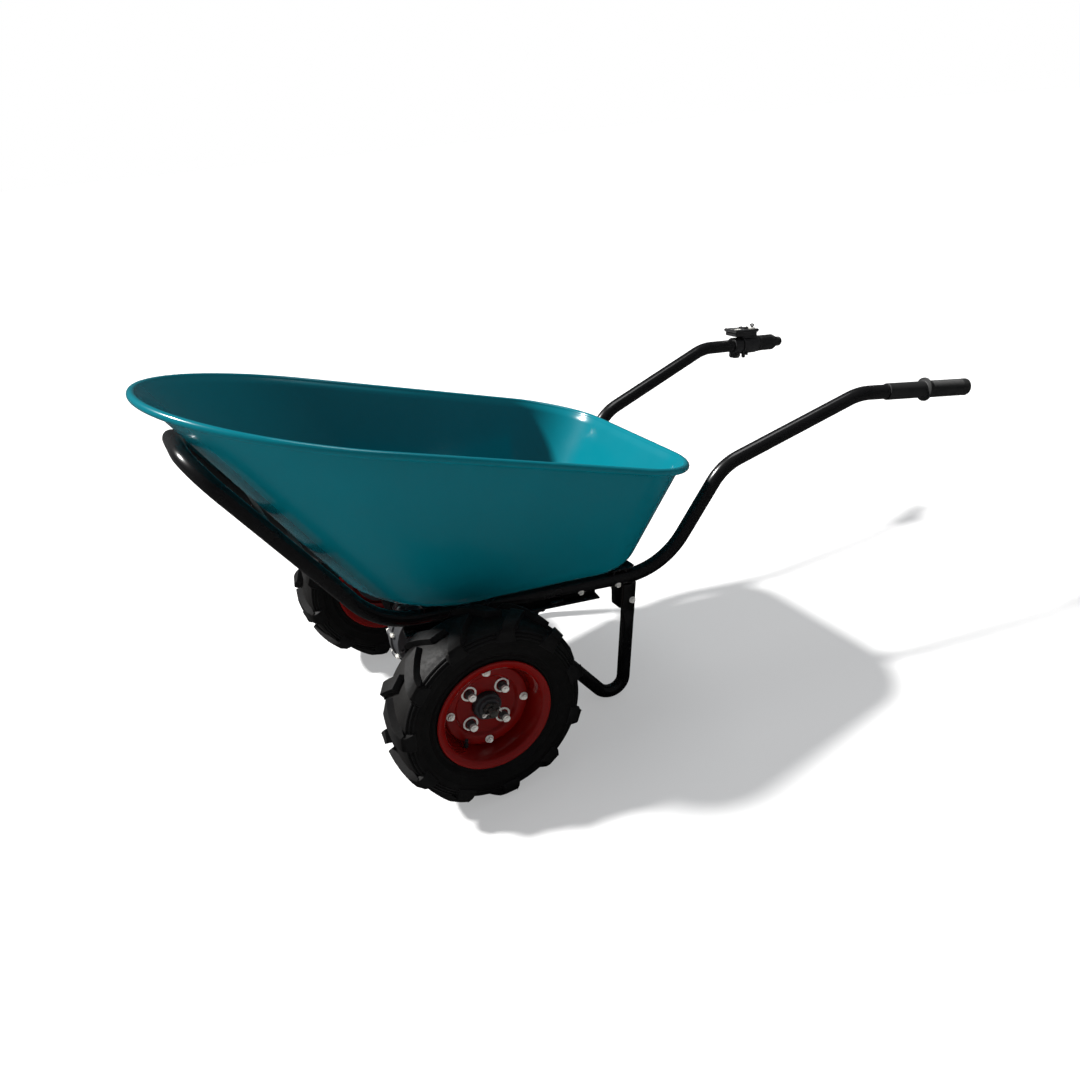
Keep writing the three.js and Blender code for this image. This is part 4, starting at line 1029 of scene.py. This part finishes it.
def build_axle_tube(label, side):
    """The flanged tube with its bolts, and the half shaft and the bearing inside it."""
    inner, outer, start, end = AXLE_TUBE.values()
    place = axle_level(side)
    shape = Shape()
    shape.turn([(inner, start), (outer + 9, start), (outer + 9, start + 7), (outer + 1, start + 8),
                (outer, start + 9), (outer, end - 1), (outer - 1, end), (inner, end)], 56)
    for i in range(5):
        turn = Matrix.Rotation(math.radians(72 * i + 18), 4, "Y")
        shape.bolt(turn @ facing((0, 1, 0), (outer + 4.6, start + 7, 0)), across=6, height=3.6, washer=4.2)
    add(f"{label}_axle_housing", shape, place, stands_for=[f"{label}_axle_tube"])
    thread_start = WHEEL_Y + 24
    thread = [(9 - 0.7 * (i % 2), thread_start + i) for i in range(20)]
    shaft = Shape()
    shaft.turn([(0, 3), (11, 3), (12, 4), (18, 17), (9.3, 17.5), (9, 19), (9, thread_start)], 32)
    shaft.turn([(0, thread_start)] + thread + [(7.6, thread_start + 21), (0, thread_start + 21.4)], 32)
    add(f"{label}_shaft", shaft, place, "steel", f"{label}_wheel", [f"{label}_half_shaft"], look="oily_zinc")
    bearing = Shape()
    bearing.turn([(9.5, 240), (12.6, 240), (13, 241), (13, 255), (12.6, 256), (9.5, 256)], 40)
    bearing.turn([(16.6, 240), (19.7, 240), (19.7, 256), (16.6, 256)], 40)
    bearing.turn([(13.2, 253), (16.4, 253), (16.4, 254.4), (13.2, 254.4)], 40)
    add(f"{label}_bearing", bearing, place, "steel", stands_for=[f"{label}_axle_bearing"])


def lobed(axle_r, motor_r, y):
    """An outline round the axle lobe and the motor lobe."""
    half, steps = math.acos((axle_r - motor_r) / MOTOR_REACH), 30
    points = []
    for i in range(steps * 2 + 1):
        points.append(polar(axle_r, MOTOR_LIFT + half + (2 * math.pi - 2 * half) * i / (steps * 2)))
    for i in range(steps + 1):
        points.append(polar(motor_r, MOTOR_LIFT - half + 2 * half * i / steps, MOTOR_AT))
    return [(x, y, z) for x, z in points]


def lobe_circle(radius, y):
    """A circle about the axle with a point for each point of the lobed outline."""
    angles = [math.atan2(z, x) for x, _, z in lobed(76, 28, 0)]
    return [(radius * math.cos(a), y, radius * math.sin(a)) for a in angles]


def case_bolts():
    """Places of the bolts round the gear case's joint, then of those round its motor lobe."""
    joint = [polar(79, MOTOR_LIFT + math.radians(a)) for a in (60, 100, 140, 180, 220, 260, 298)]
    return joint + [polar(31, MOTOR_LIFT + math.radians(a), MOTOR_AT) for a in (-48, 0, 48)]


def build_gear_case(label, side):
    """One ribbed half of the case; the bolts' ends stand out on the left half."""
    shape, bolts = Shape(), Shape()
    shape.loft([lobed(80, 32, 0.15), lobed(80.6, 32.6, 0.8), lobed(80.6, 32.6, 5.4), lobed(79.6, 31.6, 6.2),
                lobed(76.6, 28.6, 7), lobed(75, 27, 31), lobed(74, 26, 34.2), lobed(71, 23, 36),
                lobe_circle(30, 36.4), lobe_circle(29.4, 40.6), lobe_circle(10.2, 40.6),
                lobe_circle(10.2, 32), lobed(70.5, 21.5, 31.8), lobed(72, 23, 0.15)], loop=True)
    if side > 0:
        ribs, height, tip = range(100, 261, 40), 4.6, 0
    else:
        ribs, height, tip = range(30, 346, 45), 5.6, 2.4
    for degrees in ribs:
        turn = Matrix.Rotation(-MOTOR_LIFT - math.radians(degrees), 4, "Y")
        shape.box((27, 34, -1.6), (71, 38.6, 1.6), turn, 1.0)
    for x, z in case_bolts():
        shape.turn([(0, 0.2), (6.4, 0.2), (6.8, 1), (6.2, 10), (5.4, 11), (0, 11)], 28, move(x, 0, z))
        bolts.bolt(facing((0, 1, 0), (x, 11, z)), 8, height, 5.6, tip)
    place = axle_level(side)
    add(f"{label}_case_half", shape, place, "casting", stands_for=[f"{label}_gear_case"], smooth=40)
    add(f"{label}_case_bolts", bolts, place, "zinc", smooth=40)


def build_motor():
    """The motor's can, and its end cap with screws and a cable gland."""
    place = LEVEL @ move(MOTOR_X, 0, WHEEL_R + MOTOR_RISE)
    radius, start, end = MOTOR.values()
    can = Shape()
    can.turn([(8, start + 0.2), (radius - 2, start + 0.2), (radius, start + 2), (radius, start + 12),
              (radius - 1, start + 13), (radius - 1, start + 16), (radius, start + 17), (radius, end - 16),
              (radius - 1, end - 15), (radius - 1, end - 12), (radius, end - 11), (radius, end - 1),
              (radius - 1, end), (40, end), (40, start + 6), (8, start + 6)], 96)
    add("motor_shell", can, place, "casting", stands_for=["motor_can"], smooth=40)
    cap = Shape()
    cap.turn([(0, end + 0.3), (radius, end + 0.3), (radius, end + 8), (radius - 1.4, end + 10.4),
              (radius - 7, end + 14.4), (radius - 9, end + 15.6), (16, end + 15.8), (15, end + 13),
              (13, end + 13), (12, end + 15), (0, end + 15.6)], 96)
    screws = Shape()
    for i in range(4):
        x, z = polar(39, math.radians(45 + 90 * i))
        cap.turn([(0, end + 2), (6.6, end + 2), (6, end + 12.6), (5, end + 13.2), (0, end + 13.2)], 24,
                 move(x, 0, z))
        screws.bolt(facing((0, 1, 0), (x, end + 13.2, z)), across=6, height=2.8, washer=4.4)
    cap.rod(7, 0, 10, facing((0.4, 0, 1), (12, end + 7, 40)), 28, 1)
    cap.hexagon(15, 5, facing((0.4, 0, 1), (15, end + 7, 47)))
    add("motor_end_cap", cap, place, "casting", stands_for=["motor_cap"], smooth=40)
    add("motor_screws", screws, place, "zinc", smooth=40)


for label, side in SIDES:
    build_hanger(label, side)
    build_axle_tube(label, side)
    build_gear_case(label, side)
build_motor()


# ---------------------------------------------------------------- battery
def rounded_rect(half, low, high, radius, x, steps=5):
    """A rectangle with round corners in Y and Z."""
    points = []
    corners = ((half - radius, high - radius, 0), (radius - half, high - radius, 90),
               (radius - half, low + radius, 180), (half - radius, low + radius, 270))
    for y, z, first in corners:
        for k in range(steps + 1):
            points.append((x, *polar(radius, math.radians(first + 90 * k / steps), (y, z))))
    return points


def build_battery_box():
    """A folded sheet box, open at the back, with pressed ribs on its front and sides."""
    front, rear, half, low, high = BATTERY.values()
    sheet = 2.5

    def ring(inset, radius, x):
        return rounded_rect(half - inset, low + inset, high - inset, radius, x)

    shape = Shape()
    shape.loft([ring(2, 4, front), ring(0.5, 4, front + 0.6), ring(0, 4, front + 2.4), ring(0, 4, rear),
                ring(sheet, 2, rear), ring(sheet, 2, front + sheet)])
    for x in (front + 34, front + 62, front + 90):
        for y0, y1 in ((-half - 1.2, 0.5 - half), (half - 0.5, half + 1.2)):
            shape.box((x - 4, y0, low + 14), (x + 4, y1, high - 14), rounding=0.9)
    for y in (-60, -20, 20, 60):
        shape.box((front - 1.2, y - 5, low + 14), (front + 0.5, y + 5, high - 14), rounding=0.9)
    add("battery_housing", shape, stands_for=["battery_box"], smooth=40)


def build_battery_pack():
    """A moulded case with ribs along its top, and a carrying handle and a plug at its rear."""
    front, rear, half, low, high = BATTERY.values()
    x0, x1, y0, y1, z0, z1 = front + 5.5, rear - 12, -half + 43.5, half - 5.5, low + 2.8, high - 10
    middle, reach = (y0 + y1) / 2, (y1 - y0) / 2

    def ring(inset, x):
        return rounded_rect(reach - inset, z0 + inset, z1 - inset, 5, x)

    shape = Shape()
    shape.loft([ring(2, x0), ring(0, x0 + 2), ring(0, x1 - 4), ring(3, x1)], at=move(0, middle, 0))
    for i in range(7):
        y = y0 + 16 + i * 18
        shape.box((x0 + 12, y - 3, z1 - 1), (x1 - 12, y + 3, z1 + 1.2), rounding=0.7)
    shape.tube(rounded(bail(x1 - 3, x1 + 7, middle, 34, z1 - 18), [4, 4]), 3.4, 20)
    shape.box((x1 - 1, y0 + 14, z0 + 10), (x1 + 2.4, y0 + 40, z0 + 26), rounding=1)
    add("battery_case", shape, slot="plastic", stands_for=["battery_pack"], smooth=40)


def bail(x0, x1, middle, reach, z):
    """Corners of a handle that stands out from a face and back."""
    start, end = middle - reach, middle + reach
    return [(x0, start, z), (x1, start, z), (x1, end, z), (x0, end, z)]


def build_controller():
    front, half, low = BATTERY["front"], BATTERY["half"], BATTERY["low"]
    y0 = -half + 4.5
    shape = Shape()
    shape.box((front + 8, y0, low + 2.8), (front + 98, y0 + 30, low + 30), rounding=1)
    for i in range(6):
        y = y0 + 1 + i * 5.2
        shape.box((front + 8, y, low + 29), (front + 98, y + 2.6, low + 40), rounding=0.6)
    for z in (low + 10, low + 20):
        for y in (y0 + 9, y0 + 21):
            shape.rod(4.2, 0, 7, facing((1, 0, 0), (front + 97, y, z)), 20, 0.6)
    add("controller_fins", shape, slot="casting", stands_for=["motor_controller"])


def build_strap(name, x):
    reach = side_y(x - 15) + AXLE_RAIL["half"] - AXLE_RAIL["sheet"] - 1
    low, high = BATTERY["high"] + 0.3, BATTERY["high"] + 5
    shape = Shape()
    shape.box((x - 15, -reach, low), (x + 15, reach, high), rounding=0.8)
    bolts = Shape()
    for y in (-58, 58):
        bolts.bolt(facing((0, 0, 1), (x, y, high)), 13, 5, 9)
    add(f"{name}_bar", shape, stands_for=[name])
    add(f"{name}_bolts", bolts, slot="zinc", smooth=40)


def build_door():
    """The door lies over the box's open back and drops on its hinge."""
    _, rear, half, low, high = BATTERY.values()
    shape = Shape()
    shape.box((rear + 0.3, -half, low + 1), (rear + 2.8, half, high - 1), rounding=0.7)
    shape.loft([rounded_rect(half - inset, low + inset, high - 10 - inset, radius, rear + x)
                for inset, radius, x in ((14, 6, 2.6), (14, 6, 3.2), (16, 5, 4))])
    for i in range(5):
        z = low + 22 + 5 * i
        shape.box((rear + 3.6, -70, z), (rear + 5, -40, z + 2), rounding=0.5)
    shape.tube(rounded(bail(rear + 3, rear + 8, 0, 30, high - 13), [4, 4]), 2.6, 18)
    add("door_panel", shape, LEVEL, "frame_paint", "door", ["battery_door"])
    hinge = Shape()
    x, z = rear + 2, low - 3.4
    for i in range(11):
        y = -half + 10 + i * 16
        hinge.turn([(0, y), (2.7, y), (3, y + 0.4), (3, y + 15.2), (2.7, y + 15.6), (0, y + 15.6)], 24,
                   move(x, 0, z))
    hinge.rod(1.5, -half + 8, half - 8, facing((0, 1, 0), (x, 0, z)), 16, 0.3)
    add("hinge_knuckles", hinge, slot="zinc", stands_for=["battery_hinge"])
    latch = Shape()
    latch.box((rear + 5.4, 45, high - 21), (rear + 8.6, 55, high + 3), rounding=1)
    latch.turn([(0, 4.3), (6.4, 4.3), (6.6, 5), (6.6, 9), (6, 9.8), (0, 9.8)], 32,
               move(rear, 50, high - 16) @ ALONG_X)
    latch.box((rear + 9.4, 48.8, high - 21), (rear + 11.6, 51.2, high - 11), rounding=0.6)
    add("turn_latch", latch, LEVEL, "zinc", "latch", ["battery_latch"])


def build_charge_port():
    """A knurled socket on the box's left side."""
    place = move(170, -BATTERY["half"], BATTERY["low"] + 36) @ Matrix.Rotation(math.pi, 4, "Z")
    shape = Shape()
    shape.turn([(0, 0.3), (13, 0.3), (13.4, 1), (13.4, 2.4), (12.6, 3), (11, 3.2), (11, 8.4), (10.2, 9.2),
                (3, 9.2), (2.4, 8.4), (0, 8.4)], 48, place)
    for angle in turns(24):
        shape.box((10.6, 4, -0.6), (11.5, 8.2, 0.6), place @ Matrix.Rotation(angle, 4, "Y"), 0.2)
    add("charge_socket", shape, slot="plastic", stands_for=["charge_port"])


build_battery_box()
build_battery_pack()
build_controller()
build_strap("battery_front_strap", 142)
build_strap("battery_rear_strap", 228)
build_door()
build_charge_port()


# ---------------------------------------------------------------- handlebar pieces
def build_left_grip():
    """A long sleeve, a wide hand stop, then a ribbed grip with a rounded end."""
    start, stop, end = 76, 184, GRIP_END
    profile = [(BORE_R, start), (17.8, start), (18.6, start + 1), (18.6, stop - 2), (20, stop - 1),
               (25.6, stop), (26.5, stop + 1), (26.5, stop + 4), (25.4, stop + 5.4), (21, stop + 7),
               (18.6, stop + 12)]
    count = 26
    first = stop + 20
    pitch = (end - 14 - first) / count
    for i in range(count):
        x = first + i * pitch
        profile += [(18.6, x), (19.3, x + pitch * 0.2), (19.3, x + pitch * 0.55), (18.6, x + pitch * 0.75)]
    profile += [(18.6, end - 12), (19.5, end - 8), (19.6, end - 1), (18.6, end + 2.6), (16, end + 5),
                (12, end + 6), (0, end + 6), (0, end + 1), (BORE_R, end + 1)]
    shape = Shape().turn_along(profile)
    add("left_hand_grip", shape, handle_frame(-1), "rubber", stands_for=["left_grip"], smooth=30)


def build_right_grip():
    """The end cap beyond the throttle narrows to a short stub."""
    start, end = SLEEVE[1] + 0.6, GRIP_END
    tube_end = end - RIGHT_TUBE_CUT + 1
    shape = Shape()
    shape.turn_along([(BORE_R, start), (20.8, start), (21.5, start + 0.8), (21.4, start + 4),
                      (20.6, start + 6), (16, tube_end + 1.5), (14.2, tube_end + 6), (12.9, tube_end + 9),
                      (12.6, end - 5), (12.3, end - 3), (11, end - 0.6), (8, end + 0.8), (0, end + 1),
                      (0, tube_end), (BORE_R, tube_end)])
    for i in range(3):
        x = tube_end + 11 + 4 * i
        shape.turn([(12, x), (13.1, x + 0.5), (13.1, x + 1.5), (12, x + 2)], 64, ALONG_X)
    add("right_hand_grip", shape, handle_frame(1), "rubber", stands_for=["right_grip"], smooth=36)


def build_throttle():
    """The twist sleeve with its thumb paddle."""
    start, end = SLEEVE
    shape = Shape()
    shape.turn_along([(BORE_R, start), (21.8, start), (22.5, start + 0.8), (22.5, start + 5),
                      (21.8, start + 6.4), (20.6, start + 9), (20.6, end - 3), (21.4, end - 1), (21.2, end),
                      (BORE_R, end)])
    for angle in turns(24, 0.5):
        shape.box((start + 12, -1.1, 20), (end - 4, 1.1, 21.3), Matrix.Rotation(angle, 4, "X"), 0.5)
    paddle = [(start + 10, -17), (start + 12, -22), (start + 16, -23), (end - 18, -23), (end - 14, -22),
              (end - 12, -17), (end - 12, -9), (start + 10, -9)]
    shape.prism(paddle, 12, 19.4, rounding=1.6)
    add("twist_sleeve", shape, handle_frame(1), "rubber", "throttle", ["throttle_sleeve"], 36)


def build_throttle_housing():
    """The housing that the sleeve turns in, with two screw bosses and a cable gland."""
    start, end = HOUSING
    down = facing((0, 0, -1))
    shape = Shape()
    shape.turn_along([(BORE_R, start), (23, start), (24, start + 1), (24, start + 27), (23.3, start + 28),
                      (23.3, start + 29), (24, start + 30), (24, end - 7), (22.6, end - 2), (21.8, end),
                      (BORE_R, end)], 72)
    shape.box((start, -14, 16), (end - 8, 14, 26), rounding=1.4)
    for y in (-17, 17):
        shape.turn([(0, 0), (4.4, 0), (4.4, 7), (3.8, 7.8), (0, 7.8)], 24,
                   move(start + 14, y, -18) @ down @ UPRIGHT)
    gland = move(start + 20, 0, -22) @ down
    shape.hexagon(13, 5, gland)
    shape.turn([(0, 4), (5.6, 4), (5.8, 5), (5.0, 13), (4.2, 14), (0, 14)], 28, gland @ UPRIGHT)
    add("throttle_body", shape, handle_frame(1), "plastic", stands_for=["throttle_housing"], smooth=36)


def build_clamp():
    """A split ring with two ears and the bolt that draws them together."""
    start, end = 112, 142
    middle = (start + end) / 2

    def section(i):
        half = 20.4 if i in (0, 3) else 21
        return half, half

    ring = [Vector((x, 0, 0)) for x in (start, start + 1, end - 1, end)]
    ear = [(start + 1, -18), (start + 1, -29), (start + 6, -34), (end - 6, -34), (end - 1, -29),
           (end - 1, -18)]
    shape = Shape()
    shape.tube(ring, 21, 56, wall=3.8, scale=section)
    for hand in (-1, 1):
        shape.prism(ear, hand * 1.5, hand * 9, rounding=1)
    bolt = Shape()
    bolt.bolt(facing((0, -1, 0), (middle, -9, -27)), across=9, height=5, washer=6.5)
    bolt.bolt(facing((0, 1, 0), (middle, 9, -27)), across=9, height=4.5, washer=6.5, tip=3)
    bolt.rod(3, -9, 9, facing((0, 1, 0), (middle, 0, -27)), 16)
    add("clamp_ring", shape, handle_frame(1), "plastic", stands_for=["control_clamp"], smooth=36)
    add("clamp_bolt", bolt, handle_frame(1), "zinc", smooth=40, look="oily_zinc")


def box_outline(half_x, half_y, radius, z):
    return [(x, y, z) for _, x, y in rounded_rect(half_x, -half_y, half_y, radius, z, steps=6)]


def build_control_box():
    """A rounded case under a wider top plate, with wells for the gauge, the rocker and the key."""
    start, end, half, low, high = BOX.values()
    at = move((start + end) / 2, 0, 0)
    reach, edge, floor = (end - start) / 2, half - 1, high - 5.2
    case = Shape()
    case.loft([box_outline(reach - inset, half - inset, 5, z)
               for inset, z in ((5, low), (3, low + 1.4), (3, high - 7.4))], at=at)
    plate = [box_outline(reach - inset, half - inset, radius, high - drop)
             for inset, radius, drop in ((0.6, 5, 7.2), (0, 5.4, 6.6), (0, 5.4, 5.4), (0.6, 5, 4.9))]
    case.loft(plate, at=at)
    for x0, x1 in ((0.2, 8), (42, 50.4), (63.6, 67.4), (84.8, end - start - 0.6)):
        case.box((start + x0, -edge, floor), (start + x1, edge, high), rounding=0.8)
    for x0, x1, y0, y1 in ((7.5, 42.5, -17, 17), (50, 64, -6.4, 18.4), (67, 85, -18.6, -1.4)):
        case.box((start + x0, y1, floor), (start + x1, edge, high), rounding=0.8)
        case.box((start + x0, -edge, floor), (start + x1, y0, high), rounding=0.8)
    for x in (start + 4.4, end - 4.6):
        for y in (-half + 5, half - 5):
            case.rod(2.6, high - 0.2, high + 1.2, move(x, y, 0), 18, 0.5)
    add("switch_case", case, handle_frame(1), "plastic", stands_for=["control_box"], smooth=36)
    lens = Shape()
    lens.box((start + 8.4, -16.6, high - 4.8), (start + 41.6, 16.6, high - 0.6), rounding=0.8)
    add("gauge_window", lens, handle_frame(1), "lens", stands_for=["gauge_lens"])
    bars = Shape()
    for i in range(5):
        x = start + 13 + i * 5
        bars.box((x, -9, high - 0.7), (x + 3, -3 + i * 1.6, high - 0.3), rounding=0.1)
    bars.box((start + 12, 8, high - 0.7), (start + 38, 10, high - 0.3), rounding=0.1)
    add("gauge_bars", bars, handle_frame(1), "zinc")


def build_key():
    """The key stands in its barrel."""
    at = move(BOX["start"] + 76, -10, 0)
    high = BOX["high"]
    barrel = Shape()
    barrel.turn([(2.4, high - 14), (7.6, high - 14), (8, high - 13), (8, high + 0.4), (9.3, high + 0.5),
                 (9.6, high + 1), (9.6, high + 2.4), (9, high + 3.1), (3.6, high + 3.1), (2.4, high + 2.2)],
                48, at @ UPRIGHT)
    add("key_cylinder", barrel, handle_frame(1), "zinc", "ignition_key", ["key_barrel"], 40)
    key = Shape()
    key.box((-1, -2.2, high - 8), (1, 2.2, high + 5), at, 0.3)
    middle = Vector((0, 0, high + 10))
    section = ((-1.5, -1.4), (1.5, -1.4), (1.8, 0), (1.5, 1.9), (-1.5, 1.9), (-1.8, 0))
    bow = []
    for angle in turns(40):
        out = Vector((0, 1.5 * math.cos(angle), math.sin(angle))).normalized()
        point = middle + Vector((0, 5.2 * math.cos(angle), 2.2 * math.sin(angle)))
        bow.append([point + out * y + Vector((x, 0, 0)) for x, y in section])
    key.loft(bow, loop=True, at=at)
    key.box((-1.6, -4, high + 3.4), (1.6, 4, high + 6.8), at, 0.7)
    add("key_blade", key, handle_frame(1), "plastic", "ignition_key", ["key"], 40)


def build_rocker():
    """The direction switch, with a raised bar on each end."""
    high = BOX["high"]
    turn = move(BOX["start"] + 57, 6, 0) @ Matrix.Rotation(math.pi / 2, 4, "Z")
    outline = [(-10.4, high - 1), (-10.4, high + 3.2), (-9.6, high + 3.6), (-5, high + 1.7), (0, high + 0.8),
               (5, high + 1.7), (9.6, high + 3.6), (10.4, high + 3.2), (10.4, high - 1), (5, high - 7),
               (0, high - 9), (-5, high - 7)]
    shape = Shape()
    shape.prism(outline, -5.6, 5.6, turn, 0.5)
    for x in (-7, 7):
        shape.box((x - 1, -3.4, high + 1.6), (x + 1, 3.4, high + 3.4), turn, 0.3)
    add("rocker_cap", shape, handle_frame(1), "plastic", "rocker", ["direction_rocker"], 40)


build_left_grip()
build_right_grip()
build_throttle()
build_throttle_housing()
build_clamp()
build_control_box()
build_key()
build_rocker()


# ---------------------------------------------------------------- every CAD node still showing
for name in ("ring_gear", "motor_rotor"):
    mesh = frame["nodes"][name].data
    mesh.materials.clear()
    mesh.materials.append(MATERIALS["steel"])
